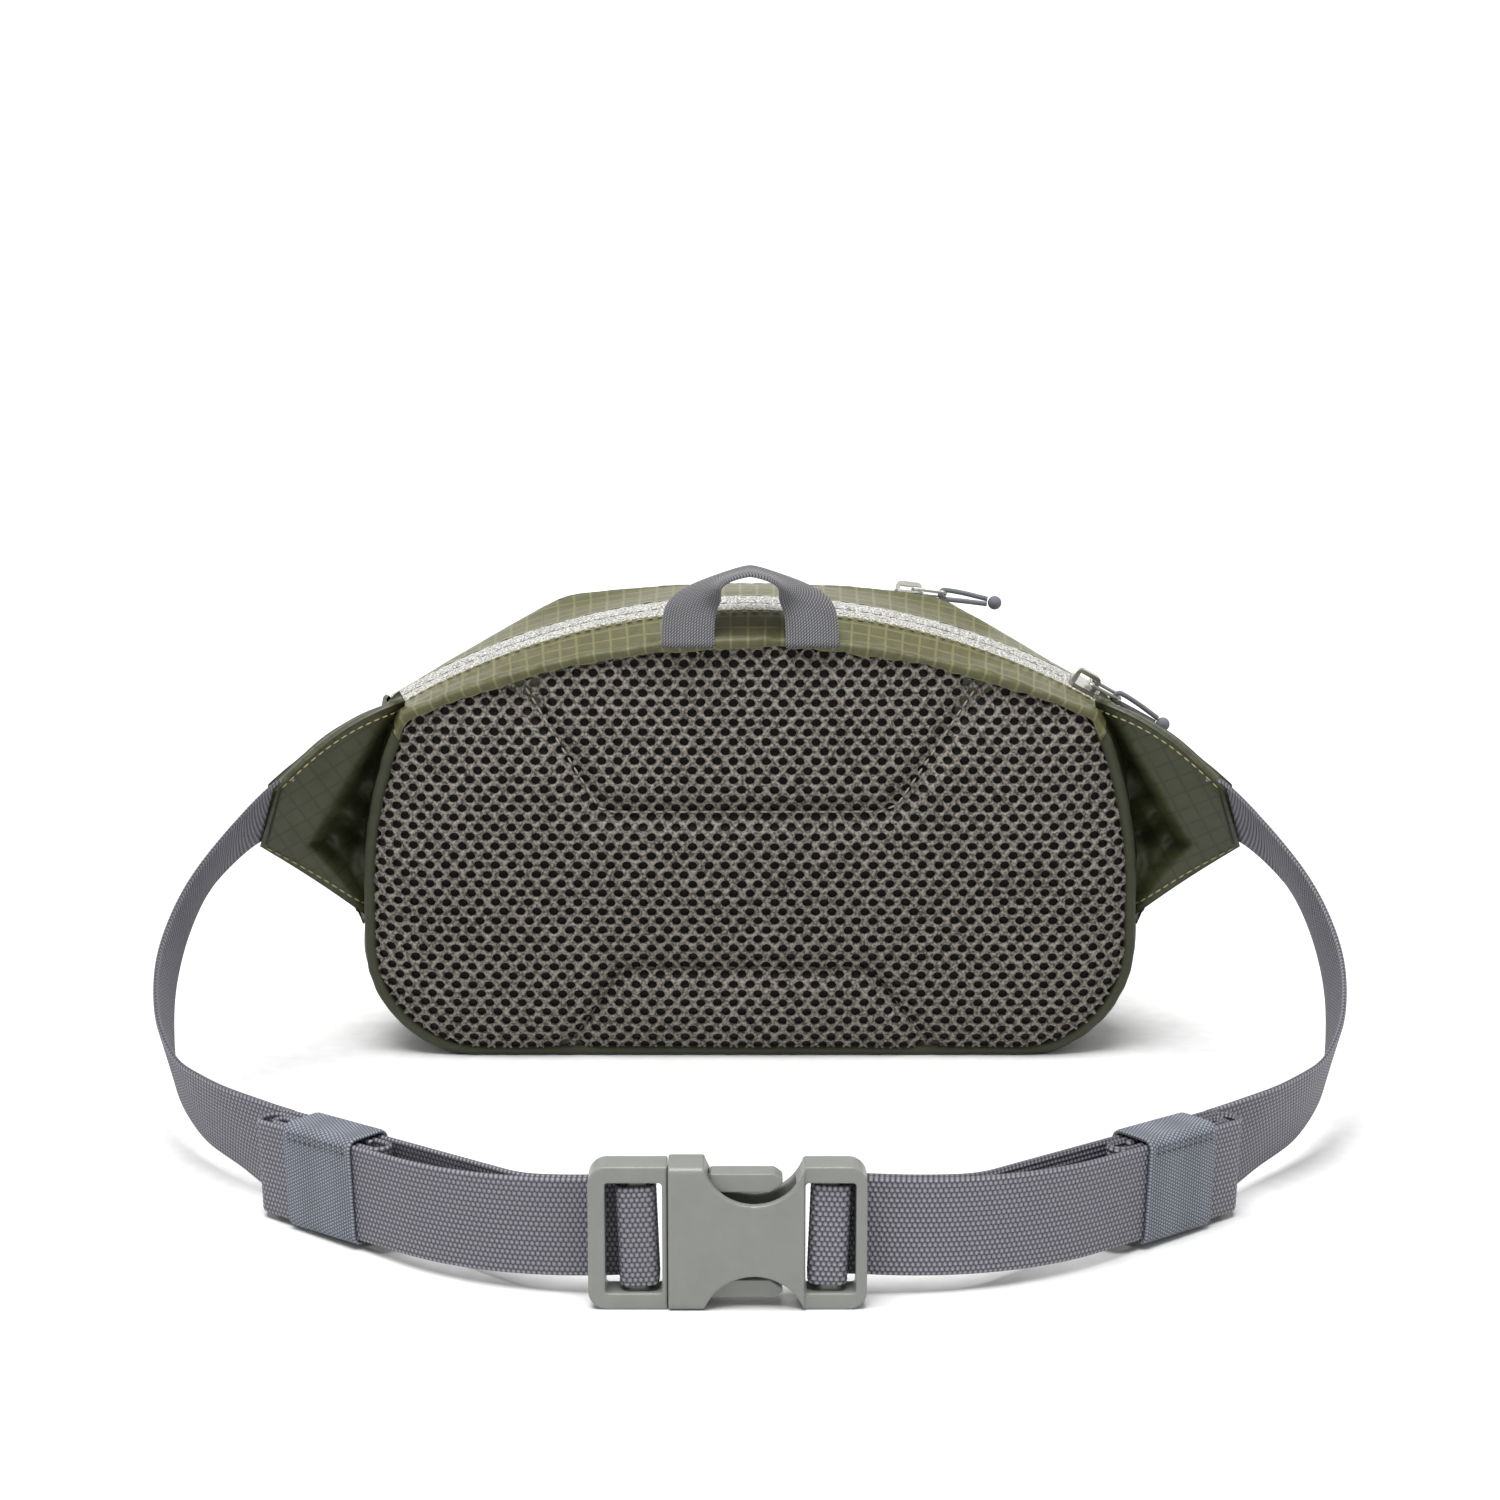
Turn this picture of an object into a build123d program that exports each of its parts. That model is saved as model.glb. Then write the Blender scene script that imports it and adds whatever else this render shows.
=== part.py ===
"""Waist pack with a padded mesh back, two zipped compartments and a webbing belt closed by a side-release buckle.

Sizes are in millimetres, +Z up. The pack is worked out with its back panel in the plane y = 0, the belt
reaching towards -Y and the front pocket towards +Y, and every piece is moved by PANEL_Y when it is written,
so that the frame's origin lies on the floor under the middle of the whole object.
"""
from build123d import *
from math import asin, atan, atan2, cos, degrees, pi, radians, sin, sqrt
import os

# ---------------------------------------------------------------- driving dimensions
PANEL_Y = 62.5           # where the back panel's plane stands in the finished frame
WALL = 1.2               # sewn fabric, as one solid thickness
GAP = 0.3                # running room between pieces that move past each other

# Outlines of the bag, back to front: y, top, arch radius, arch half angle, half width and its height,
# bottom corner radius, bottom.
BACK = dict(y=0.8, top=126, radius=243, half=24.6, side=113, waist=50, corner=34, bottom=0)
ZIP_BACK = dict(y=13, top=131.6, radius=202.6, half=31.5, side=113.6, waist=52, corner=33, bottom=0)
ZIP_FRONT = dict(y=24, top=134, radius=205, half=31.5, side=114, waist=52, corner=32, bottom=0)
SEAM = dict(y=44, top=134.4, radius=420, half=8.6, side=106, waist=55, corner=30, bottom=0)
SLOPE = dict(y=60, top=126, radius=411.6, half=8.6, side=98, waist=55, corner=28, bottom=0)
POCKET = dict(y=76, top=106, radius=360, half=8, side=86, waist=52, corner=26, bottom=5)
FACE = dict(y=84, top=93, radius=330, half=7.5, side=72, waist=50, corner=24, bottom=14)
STATIONS = [BACK, ZIP_BACK, ZIP_FRONT, SEAM, SLOPE, POCKET, FACE]

# Back panel: foam and mesh crown towards the wearer.
PAD_CROWN = 9            # how far the mesh stands out from the panel's plane
PAD_EDGE = 2.3           # binding tape left showing round the mesh
MESH_SKIN = 2.4          # thickness of the spacer mesh
BINDING_Y = -1.6         # the binding wraps this far round the panel's edge

# Zips. Each runs on a circle about an axis along Y, so its slider turns about that axis.
ZIP_Y = 18.5             # middle of the main zip
ZIP_SLOT = (-0.6, 0.85)                # gap between its tapes, and between the coil rows under them:
ZIP_COIL_SLOT = (-0.3, 1.25)           # they follow the slider's post, which leans with the slope
MAIN_AXIS_Z = ZIP_BACK["top"] - ZIP_BACK["radius"]
MAIN_END = 31.5          # half angle of the main zip
MAIN_REST = 28.9         # where its slider stands, closed, at the wearer's left end
POCKET_AXIS_Z = SEAM["top"] - SEAM["radius"]
POCKET_ZIP_Y = 49.5
POCKET_TAPE = 4.2        # half width of the pocket zip along Y
POCKET_END = 8.3
POCKET_TOP_END = 8.6     # half angle of the pocket's sloping top
POCKET_REST = 6.6
POCKET_SLOT = (-1.1, 0.55)
POCKET_COIL_SLOT = (-1.95, 0.15)
DIVIDER_Y = 42.2
COIL = 1.6               # thickness of the coil under the tape
FLAP_HALF = 62           # half length of the stretch of top that folds open
SLIDER = dict(length=9, width=8.4, plate=1.0, lift=0.4, crown=3.9)
PULL = dict(length=11, width=5.6, rod=0.55)
CORD_D = 1.5             # pull cord
CORD_DROP = 13           # length of the folded cord past the pull
CORD_FALL = 3            # how steeply the cord hangs from its pull

# Belt.
WEB = dict(width=25, thick=1.5)
PLY = 1.8                # pitch of webbing layers that lie on each other
KEEPER_AT = (-104, -155) # middle of the left keeper's stack, seen from above
KEEPER_TURN = 42         # angle between the belt at the keeper and the X axis
KEEPER = dict(length=25, wall=1.2, travel=6)
INNER_PLY = 4.5          # the belt's loaded layer, measured inwards from the stack's middle
OUTER_PLY = -4.9         # its folded-back tail
FRONT_BEND = 81          # radius of the tail's bend between keeper and buckle
SIDE_GAP = 1.1           # between the belt's front and side lengths, whose ends meet under the keeper's edge
STACK_START = -26        # the straight stack begins here, along the belt from the keeper's middle
SIDE_BENDS = [(211, 9.6), (78.3, 69.5), (31, 29.4)]   # radius and angle of each bend, keeper to wing
WING_TIP_Z = 73.3
WING_LAP = 2             # length of the belt's end held between the wing's layers
SIDE_LEAN = [4, 16, 19, 14, 7, -8, -26, -35]   # how far the webbing's top leans out, keeper to wing
SIDE_RISE = [0, 0.034, 0.065, 0.176, 0.372, 0.605, 0.833, 1]   # share of the climb from keeper to wing

# Buckle, seen from the front: x along the belt, y = 0 in its middle plane, z = 0 at its lower edge.
BUCKLE_Y = -203
BUCKLE = dict(height=35.7, seam=-19.5, socket_end=13, left=-38.6, right=27.9, half=6, rail=4.1)
FRAME_FRONT, FRAME_BACK = -5.0, 3.8    # webbing frames, front and back
BAR = dict(width=5.0, front=-2.5, back=2.0)
BAR_EASE = 0.8           # room between the bar and the webbing round it
PLUG_BAR_X, HOUSING_BAR_X = -26.8, 18.9
PRONG = dict(root=-19.2, tip=7.8, shoulder=-9.5, thick=2.8, outer=33.4, half=3.2)
CAVITY = dict(half=3.6, low=3.2, end=11)
PLUG_TRAVEL = 36

# Handle.
HANDLE = dict(width=15.4, thick=1.4, half_span=18, rise=17.5, lean=5.5)
HANDLE_STEPS = [1, 0.7, 0.55, 0.45, 0.37, 0.3, 0.24, 0.18, 0.12, 0.06]   # from an end up to the crown
HANDLE_HINGE = (-0.6, 126.9)           # y, z of the seam that the handle swings on

MIDDLE_Z = BUCKLE["height"] / 2
BELT_Z = 14.8                          # middle of the belt at the keeper
TILT = degrees(atan((MIDDLE_Z - BELT_Z) / (PLUG_BAR_X - KEEPER_AT[0])))

nodes = {}


# ---------------------------------------------------------------- bag outlines
def outline(station, inset=0.0, y=None):
    """Closed wire of one outline, drawn inwards by inset, in the plane of its y."""
    y = station["y"] if y is None else y
    radius = station["radius"] - inset
    axis_z = station["top"] - station["radius"]
    half = radians(station["half"])
    end_x, end_z = radius * sin(half), axis_z + radius * cos(half)
    side, waist = station["side"] - inset, station["waist"]
    corner, bottom = station["corner"] - inset, station["bottom"] + inset
    reach = side - end_x
    side_radius = (reach**2 + (end_z - waist) ** 2) / (2 * reach)
    middle = atan2(end_z - waist, end_x - side + side_radius) / 2
    bulge_x = side - side_radius + side_radius * cos(middle)
    bulge_z = waist + side_radius * sin(middle)
    in_corner = corner * (1 - cos(pi / 4))

    def arc(a, b, c):
        return Edge.make_three_point_arc(*[Vector(p[0], y, p[1]) for p in (a, b, c)])

    def line(a, b):
        return Edge.make_line(Vector(a[0], y, a[1]), Vector(b[0], y, b[1]))

    return Wire([
        arc((-end_x, end_z), (0, axis_z + radius), (end_x, end_z)),
        arc((end_x, end_z), (bulge_x, bulge_z), (side, waist)),
        line((side, waist), (side, bottom + corner)),
        arc((side, bottom + corner), (side - in_corner, bottom + in_corner), (side - corner, bottom)),
        line((side - corner, bottom), (corner - side, bottom)),
        arc((corner - side, bottom), (in_corner - side, bottom + in_corner), (-side, bottom + corner)),
        line((-side, bottom + corner), (-side, waist)),
        arc((-side, waist), (-bulge_x, bulge_z), (-end_x, end_z)),
    ])


def lofted(wires):
    """Solid through wires in order, with flat or singly curved walls between them."""
    spans = [Solid.make_loft([a, b], ruled=True) for a, b in zip(wires, wires[1:])]
    whole = spans[0]
    for span in spans[1:]:
        whole = whole.fuse(span)
    return whole


def slab(y0, y1, x0=-200, x1=200):
    """Everything between two planes of constant y, and of constant x."""
    return Pos((x0 + x1) / 2, (y0 + y1) / 2, 80) * Box(x1 - x0, y1 - y0, 300)


def sector(axis_z, half):
    """Wedge about an axis along Y at height axis_z, from above the bag's middle to beyond its top."""
    low, high = 60 - axis_z, 180 - axis_z
    ends = [(low, -half), (high, -half), (high, half), (low, half)]
    corners = [Vector(r * sin(radians(a)), -20, axis_z + r * cos(radians(a))) for r, a in ends]
    return extrude(Face(Wire.make_polygon(corners, close=True)), amount=120, dir=(0, 1, 0))


def walls():
    """The bag's fabric as one hollow shell, open at the back panel."""
    outer = lofted([outline(s) for s in STATIONS])
    inner_stations = STATIONS[:-1] + [dict(FACE, y=FACE["y"] - WALL)]
    return outer - lofted([outline(s, WALL) for s in inner_stations])


def gusset_nodes(shell):
    """The fabric round the main compartment below its zip: a bottom and two sides."""
    ring = (shell & slab(BACK["y"], SEAM["y"])) - (sector(MAIN_AXIS_Z, MAIN_END) & slab(BACK["y"], SEAM["y"]))
    middle = Pos(0, 40, 0) * Box(2 * (SEAM["side"] - SEAM["corner"]), 100, 20)
    nodes["gusset_bottom"] = ring & middle
    sides = ring - middle
    nodes["gusset_left"] = sides & slab(0, 60, -200, 0)
    nodes["gusset_right"] = sides & slab(0, 60, 0, 200)


def pocket_nodes(shell):
    """The front pocket: its face, sloping top, bottom and two sides, with the slot for its zip."""
    face_y = FACE["y"] - WALL
    ring = (shell & slab(SEAM["y"], face_y)) - (
        slab(POCKET_ZIP_Y - POCKET_TAPE, POCKET_ZIP_Y + POCKET_TAPE) & sector(POCKET_AXIS_Z, POCKET_END))
    top = sector(POCKET_AXIS_Z, POCKET_TOP_END)
    middle = Pos(0, 60, 0) * Box(2 * (POCKET["side"] - POCKET["corner"]), 100, 34)
    nodes["pocket_face"] = shell & slab(face_y, 100)
    nodes["pocket_top"] = ring & top
    nodes["pocket_bottom"] = ring & middle
    sides = (ring - top) - middle
    nodes["pocket_side_left"] = sides & slab(0, 100, -200, 0)
    nodes["pocket_side_right"] = sides & slab(0, 100, 0, 200)


def bag():
    """Shell, top strips, both zips and the divider."""
    shell = walls()
    gusset_nodes(shell)
    pocket_nodes(shell)
    top = sector(MAIN_AXIS_Z, MAIN_END)
    back_edge, front_edge, seam = ZIP_BACK["y"], ZIP_FRONT["y"], SEAM["y"]
    slot_back, slot_front = (ZIP_Y + y for y in ZIP_SLOT)
    flap = FLAP_HALF - GAP

    def strip(y0, y1, x0=-200, x1=200):
        return (shell & top) & slab(y0, y1, x0, x1)

    def both_ends(y0, y1):
        return Compound(children=[strip(y0, y1, -200, -FLAP_HALF), strip(y0, y1, FLAP_HALF, 200)])

    nodes["top_strip_back"] = strip(BACK["y"], back_edge)
    nodes["main_zip_tape_back"] = strip(back_edge, slot_back)
    nodes["flap_zip_tape"] = strip(slot_front, front_edge, -flap, flap)
    nodes["flap_fabric"] = strip(front_edge, seam - GAP, -flap, flap)
    nodes["main_zip_tape_front_ends"] = both_ends(slot_front, front_edge)
    nodes["top_strip_front_ends"] = both_ends(front_edge, seam)
    nodes["pocket_divider"] = extrude(Face(outline(SEAM, WALL + 2.8, y=DIVIDER_Y)), amount=0.8, dir=(0, 1, 0))
    pocket_zip(shell)


def pocket_zip(shell):
    """Both tapes of the pocket zip, and the coil under them, parted where the slider's post runs."""
    top = sector(POCKET_AXIS_Z, POCKET_END)
    back_edge, front_edge = (POCKET_ZIP_Y + y for y in POCKET_SLOT)
    nodes["pocket_zip_tape_upper"] = (shell & top) & slab(POCKET_ZIP_Y - POCKET_TAPE, back_edge)
    nodes["pocket_zip_tape_lower"] = (shell & top) & slab(front_edge, POCKET_ZIP_Y + POCKET_TAPE)
    under = lofted([outline(s, WALL) for s in (SEAM, SLOPE)]) - lofted(
        [outline(s, WALL + COIL) for s in (SEAM, SLOPE)])
    back_row, front_row = (POCKET_ZIP_Y + y for y in POCKET_COIL_SLOT)
    rows = slab(back_row - COIL, back_row), slab(front_row, front_row + COIL)
    nodes["pocket_zip_coil"] = Compound(children=[((under & top) & row).solids()[0] for row in rows])


def main_coil():
    """Teeth under the main zip's tapes, and the stops at its ends."""
    under = lofted([outline(s, WALL) for s in (ZIP_BACK, ZIP_FRONT)]) - lofted(
        [outline(s, WALL + COIL) for s in (ZIP_BACK, ZIP_FRONT)])
    under = under & sector(MAIN_AXIS_Z, MAIN_END)
    back_row, front_row = (ZIP_Y + y for y in ZIP_COIL_SLOT)
    flap = FLAP_HALF - GAP
    nodes["main_zip_coil_back"] = under & slab(back_row - COIL, back_row)
    nodes["flap_zip_coil"] = under & slab(front_row, front_row + COIL, -flap, flap)
    nodes["main_zip_coil_front_ends"] = Compound(children=[
        under & slab(front_row, front_row + COIL, -200, -FLAP_HALF),
        under & slab(front_row, front_row + COIL, FLAP_HALF, 200)])
    stop = Pos(0, 0, 0.55) * Box(1.8, 5, 0.9)
    nodes["main_zip_stops"] = Compound(children=[on_main_zip(stop, a) for a in (MAIN_END - 0.6, 0.6 - MAIN_END)])


def about_zip(shape, axis_z, angle):
    """Turns a piece made at the top of a zip to its place along it, positive towards +X."""
    return shape.rotate(Axis((0, 0, axis_z), (0, 1, 0)), angle)


# ---------------------------------------------------------------- zip sliders and pulls
def slider():
    """Slider with the tape's outer face at z = 0 and the zip running along X."""
    size = SLIDER
    wide = size["width"]
    plate = Box(size["length"], wide, size["plate"])
    top_z = size["lift"] + size["plate"] / 2
    under_z = -(WALL + COIL + size["lift"] + size["plate"] / 2)
    upper = fillet((Pos(0, 0, top_z) * plate).edges().filter_by(Axis.Z), 1.6)
    lower = fillet((Pos(0, 0, under_z) * plate).edges().filter_by(Axis.Z), 1.6)
    post = Pos(-3.2, 0, (top_z + under_z) / 2) * Box(1.4, 0.8, top_z - under_z)
    plate_top = size["lift"] + size["plate"]
    arch = Pos(0, 0, plate_top + size["crown"] / 2) * Box(size["length"] - 1, 1.6, size["crown"])
    arch = fillet(arch.edges().filter_by(Axis.Y).group_by(Axis.Z)[-1], 1.7)
    window = Pos(0, 0, plate_top + (size["crown"] - 1.3) / 2) * Box(size["length"] - 3.6, 3, size["crown"] - 1.3)
    return upper + lower + post + (arch - window)


PULL_PIN = (1.2, SLIDER["lift"] + SLIDER["plate"] + 1.3)   # x, z of the pull's crossbar


def pull():
    """Wire pull: a closed loop of round rod hooked under the slider's crown."""
    half = PULL["width"] / 2 - PULL["rod"]
    x0, x1 = PULL_PIN[0], PULL_PIN[0] + PULL["length"] - 1
    z = PULL_PIN[1]
    corners = [(x0, -half, z), (x1, -half * 0.8, z), (x1, half * 0.8, z), (x0, half, z)]
    route = FilletPolyline(*corners, radius=0.9, close=True)
    start = Plane(origin=route @ 0, z_dir=route % 0)
    return sweep(start * Circle(PULL["rod"]), path=route)


def cord_route():
    """Corner points of the pull cord: from the knot, round the pull's end bar, and back to the knot."""
    bar = PULL_PIN[0] + PULL["length"] - 1
    z = PULL_PIN[1]
    clear = PULL["rod"] + CORD_D / 2 + 0.15
    hold = bar - clear
    ahead, down = cos(radians(CORD_FALL)), sin(radians(CORD_FALL))
    tip = (bar + CORD_DROP * ahead, z - CORD_DROP * down)
    side = (0.8 * down, 0.8 * ahead)
    upper = [(bar + 6.5, z + 1.2 - 3.0 * down), (bar + 2.2, z + clear)]
    lower = [(bar + 1.8, z - clear), (bar + 6.5, z - 1.2 - 4.0 * down)]
    turn = [(hold, z + clear), (hold, z - clear)]
    ends = [(tip[0] + side[0], tip[1] + side[1]), (tip[0] - side[0], tip[1] - side[1])]
    return [ends[0]] + upper + turn + lower + [ends[1]]


def pull_cord():
    """Plain tube along the cord's route."""
    points = [(x, 0, z) for x, z in cord_route()]
    radii = []
    for a, b, c in zip(points, points[1:], points[2:]):
        before, after = Vector(b) - Vector(a), Vector(c) - Vector(b)
        half_turn = radians(max(4, before.get_angle(after))) / 2
        radii.append(0.45 * min(before.length, after.length) * cos(half_turn) / sin(half_turn))
    path = FilletPolyline(*points, radius=radii)
    start = Plane(origin=path @ 0, z_dir=path % 0)
    return sweep(start * Circle(CORD_D / 2), path=path)


def pull_knot():
    """Knot that joins the cord's two ends, as a plain bead just past them."""
    a, b = cord_route()[0], cord_route()[-1]
    out = (2.3 * cos(radians(CORD_FALL)), -2.3 * sin(radians(CORD_FALL)))
    bead = Pos((a[0] + b[0]) / 2 + out[0], 0, (a[1] + b[1]) / 2 + out[1]) * Sphere(2.1)
    return bead - pull_cord()


def on_zip(shape, near, far, y, angle):
    """Moves a piece made on a zip's outer face to its place: on the slope between two outlines, turned along it."""
    rise = (far["top"] - near["top"]) / (far["y"] - near["y"])
    z = near["top"] + rise * (y - near["y"])
    return about_zip(Pos(0, y, z) * Rot(degrees(atan(rise)), 0, 0) * shape, near["top"] - near["radius"], angle)


def on_main_zip(shape, angle=MAIN_REST):
    return on_zip(shape, ZIP_BACK, ZIP_FRONT, ZIP_Y, angle)


def on_pocket_zip(shape, angle=POCKET_REST):
    return on_zip(shape, SEAM, SLOPE, POCKET_ZIP_Y, angle)


def zips():
    """Both sliders with their pulls, cords and knots."""
    for zip_name, place in (("main", on_main_zip), ("pocket", on_pocket_zip)):
        nodes[zip_name + "_zip_slider"] = place(slider())
        nodes[zip_name + "_pull"] = place(pull())
        nodes[zip_name + "_pull_cord"] = place(pull_cord())
        nodes[zip_name + "_pull_knot"] = place(pull_knot())


# ---------------------------------------------------------------- back panel
def back_panel():
    """Mesh skin over foam, the panel behind them and the binding round their edge."""
    def pad(extra, y_scale):
        crowns = [(PAD_EDGE, 0), (PAD_EDGE + 2.5, -0.62), (PAD_EDGE + 15, -1)]
        return lofted([outline(BACK, inset + extra, y=depth * y_scale) for inset, depth in crowns])

    foam = pad(MESH_SKIN, PAD_CROWN - MESH_SKIN)
    nodes["back_foam"] = foam
    nodes["back_mesh"] = pad(0, PAD_CROWN) - foam
    nodes["back_lining"] = extrude(Face(outline(BACK, PAD_EDGE, y=0)), amount=BACK["y"], dir=(0, 1, 0))
    ring = Face(outline(BACK, y=BINDING_Y)) - Face(outline(BACK, PAD_EDGE, y=BINDING_Y))
    nodes["back_binding"] = extrude(ring, amount=BACK["y"] - BINDING_Y, dir=(0, 1, 0)) - nodes["back_mesh"]


# ---------------------------------------------------------------- belt
def turned(angle):
    """Unit vector at an angle from the X axis, seen from above."""
    return Vector(cos(radians(angle)), sin(radians(angle)))


ALONG = turned(-KEEPER_TURN)           # along the left belt at the keeper, towards the buckle
INWARD = turned(90 - KEEPER_TURN)      # across it, towards the bag


def stack_point(along, inward):
    """Point of the left keeper's stack, seen from above."""
    return Vector(*KEEPER_AT) + ALONG * along + INWARD * inward


def run_on(path, length):
    """Carries a path straight on."""
    return path + [Line(path[-1] @ 1, path[-1] @ 1 + (path[-1] % 1) * length)]


def bend_on(path, radius, angle):
    """Carries a path on round a bend, positive to the left."""
    return path + [JernArc(path[-1] @ 1, path[-1] % 1, radius, angle)]


def belt_front_path(bar_x):
    """Webbing from the straight stack to the buckle's bar, round it, and back to the rolled tail.

    Drawn for the left side, where bar_x is negative."""
    half = WEB["thick"] / 2 + BAR_EASE
    fold = 1.6
    left, right = bar_x - BAR["width"] / 2 - half, bar_x + BAR["width"] / 2 + half
    front = BUCKLE_Y + BAR["front"] - WEB["thick"] / 2 - 0.2
    tail_y = BUCKLE_Y + FRAME_BACK + 0.2 + WEB["thick"] / 2
    main_y = tail_y + PLY
    start = stack_point(STACK_START, INNER_PLY)

    # The tail's bend starts on the stack's outer line and ends along X; the loaded layer runs inside it.
    drop = FRONT_BEND * (1 - cos(radians(KEEPER_TURN)))
    bend_start = (stack_point(0, OUTER_PLY).Y - tail_y - drop) / sin(radians(KEEPER_TURN))
    bend_end_x = stack_point(bend_start, OUTER_PLY).X + FRONT_BEND * sin(radians(KEEPER_TURN))
    wide = FRONT_BEND - PLY
    shared = 12.4                      # degrees of the bend that the two layers share
    join = Vector(bend_end_x - wide * sin(radians(shared)), main_y + wide * (1 - cos(radians(shared))))
    per_radius = (turned(90 - shared) - turned(90 - KEEPER_TURN)).dot(INWARD)
    short = (stack_point(0, INNER_PLY) - join).dot(INWARD) / per_radius
    knee = join + (turned(90 - shared) - turned(90 - KEEPER_TURN)) * short

    path = [Line(start, knee)]
    path = bend_on(path, short, KEEPER_TURN - shared)
    path = bend_on(path, wide, shared)
    path = run_on(path, right - fold - bend_end_x)
    path = bend_on(path, fold, -90)
    path = run_on(path, main_y - front - 2 * fold)
    path = bend_on(path, fold, -90)
    path = run_on(path, right - left - 2 * fold)
    path = bend_on(path, fold, -90)
    path = run_on(path, tail_y - front - 2 * fold)
    path = bend_on(path, fold, 90)
    path = run_on(path, left - fold - bend_end_x) if left - fold - bend_end_x > 0.01 else path
    path = bend_on(path, FRONT_BEND, -KEEPER_TURN)

    # Flat roll of the tail inside the keeper, turning inwards.
    roll = [(OUTER_PLY, -22), (2.3, 17), (-3.1, -19), (0.5, 13)]
    at = bend_start
    for (ply, end), (next_ply, _) in zip(roll, roll[1:]):
        path = run_on(path, abs(end - at))
        path = bend_on(path, abs(next_ply - ply) / 2, -180)
        at = end
    return Wire([edge for piece in run_on(path, roll[-1][1] - at) for edge in piece.edges()])


def tilted(shape):
    """The front of the left belt sinks from the buckle towards the keeper."""
    return shape.rotate(Axis((PLUG_BAR_X, 0, MIDDLE_Z), (0, 1, 0)), -TILT)


def belt_front(bar_x):
    """Front webbing of one side, drawn on the left."""
    path = belt_front_path(bar_x)
    path = path.moved(Location((0, 0, MIDDLE_Z)))
    start = Plane(origin=path @ 0, x_dir=(0, 0, 1), z_dir=path % 0)
    return tilted(sweep(start * Rectangle(WEB["width"], WEB["thick"]), path=path))


def keeper():
    """Elastic loop round the left belt and its rolled tail."""
    room_in, room_out = INNER_PLY + WEB["thick"] / 2 + 0.35, OUTER_PLY - WEB["thick"] / 2 - 0.35
    high = WEB["width"] + 0.7
    middle = stack_point(0, (room_in + room_out) / 2)
    hole = Box(KEEPER["length"] + 2, room_in - room_out, high)
    band = Box(KEEPER["length"], room_in - room_out + 2 * KEEPER["wall"], high + 2 * KEEPER["wall"])
    band = fillet(band.edges().filter_by(Axis.X), 0.9) - hole
    return tilted(Pos(middle.X, middle.Y, MIDDLE_Z) * Rot(0, 0, -KEEPER_TURN) * band)


def smooth_value(values, share):
    """Value at a share of the way along evenly spaced values."""
    at = share * (len(values) - 1)
    low = min(int(at), len(values) - 2)
    return values[low] + (values[low + 1] - values[low]) * (at - low)


def side_frames(count=19):
    """Middle, width direction and thickness direction of the left side webbing, keeper to wing tip."""
    start = stack_point(STACK_START - SIDE_GAP, INNER_PLY)
    start_z = MIDDLE_Z - (PLUG_BAR_X - start.X) * sin(radians(TILT))
    whole = sum(radius * radians(angle) for radius, angle in SIDE_BENDS)
    frames = []
    for i in range(count):
        share = i / (count - 1)
        left, point, heading = share * whole, start, 180 - KEEPER_TURN
        for radius, angle in SIDE_BENDS:
            turn = degrees(min(left, radius * radians(angle)) / radius)
            point = point + (turned(heading - 90) - turned(heading - 90 - turn)) * radius
            heading, left = heading - turn, left - radius * radians(turn)
        z = start_z + (WING_TIP_Z - start_z) * smooth_value(SIDE_RISE, share)
        outward, ahead = turned(heading + 90), turned(heading)
        lean = radians(smooth_value(SIDE_LEAN, share))
        wide = Vector(outward.X * sin(lean), outward.Y * sin(lean), cos(lean))
        frames.append((Vector(point.X, point.Y, z), wide, Vector(ahead.X, ahead.Y, 0).cross(wide).normalized()))
    return frames


def quad(middle, wide, thin, width, thick, shift=0.0):
    """Rectangular section as a wire."""
    corners = [(-1, -1), (1, -1), (1, 1), (-1, 1)]
    middle = middle + thin * shift
    points = [middle + wide * (a * width / 2) + thin * (b * thick / 2) for a, b in corners]
    return Wire.make_polygon(points, close=True)


def belt_side():
    """Webbing from the stack, round the hip and up into the wing."""
    return lofted([quad(*f, WEB["width"], WEB["thick"]) for f in side_frames()])


def wing_layer(shift):
    """One layer of the left wing, from the bag's side to the belt's end between the layers."""
    middle, wide, thin = side_frames()[-1]
    thin = thin if thin.Y > 0 else thin * -1
    ahead = wide.cross(thin) if wide.cross(thin).X > 0 else thin.cross(wide)
    tip = quad(middle - ahead * WING_LAP, wide, thin, WEB["width"] + 2, WALL, shift)
    fold = quad(middle + Vector(9, 4.5, 1), Vector(0.2, -0.2, 0.96).normalized(),
                Vector(-0.35, 0.93, 0.27).normalized(), 36, WALL, shift)
    root = quad(Vector(-113.4, 5.2, 72.5), Vector(0.13, 0, 0.99).normalized(), Vector(0, 1, 0), 57, WALL, shift)
    return lofted([root, fold, tip])


# ---------------------------------------------------------------- buckle
def webbing_frame(x0, x1, bar_x, slot0, slot1):
    """Flat frame with one slot and a bar across it, between x0 and x1."""
    high, rail = BUCKLE["height"], BUCKLE["rail"]
    deep = FRAME_BACK - FRAME_FRONT
    body = Pos((x0 + x1) / 2, (FRAME_BACK + FRAME_FRONT) / 2, high / 2) * Box(x1 - x0, deep, high)
    outer = Axis.X
    ends = body.edges().filter_by(Axis.Y).group_by(outer)[0 if abs(x0) > abs(x1) else -1]
    body = fillet(ends, 4.5)
    slot = Pos((slot0 + slot1) / 2, 0, high / 2) * Box(slot1 - slot0, 30, high - 2 * rail)
    bar = Box(BAR["width"], BAR["back"] - BAR["front"], high - 2 * rail)
    bar = fillet(bar.edges().filter_by(Axis.Z), 1.2)
    return (body - slot) + Pos(bar_x, (BAR["back"] + BAR["front"]) / 2, high / 2) * bar


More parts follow.
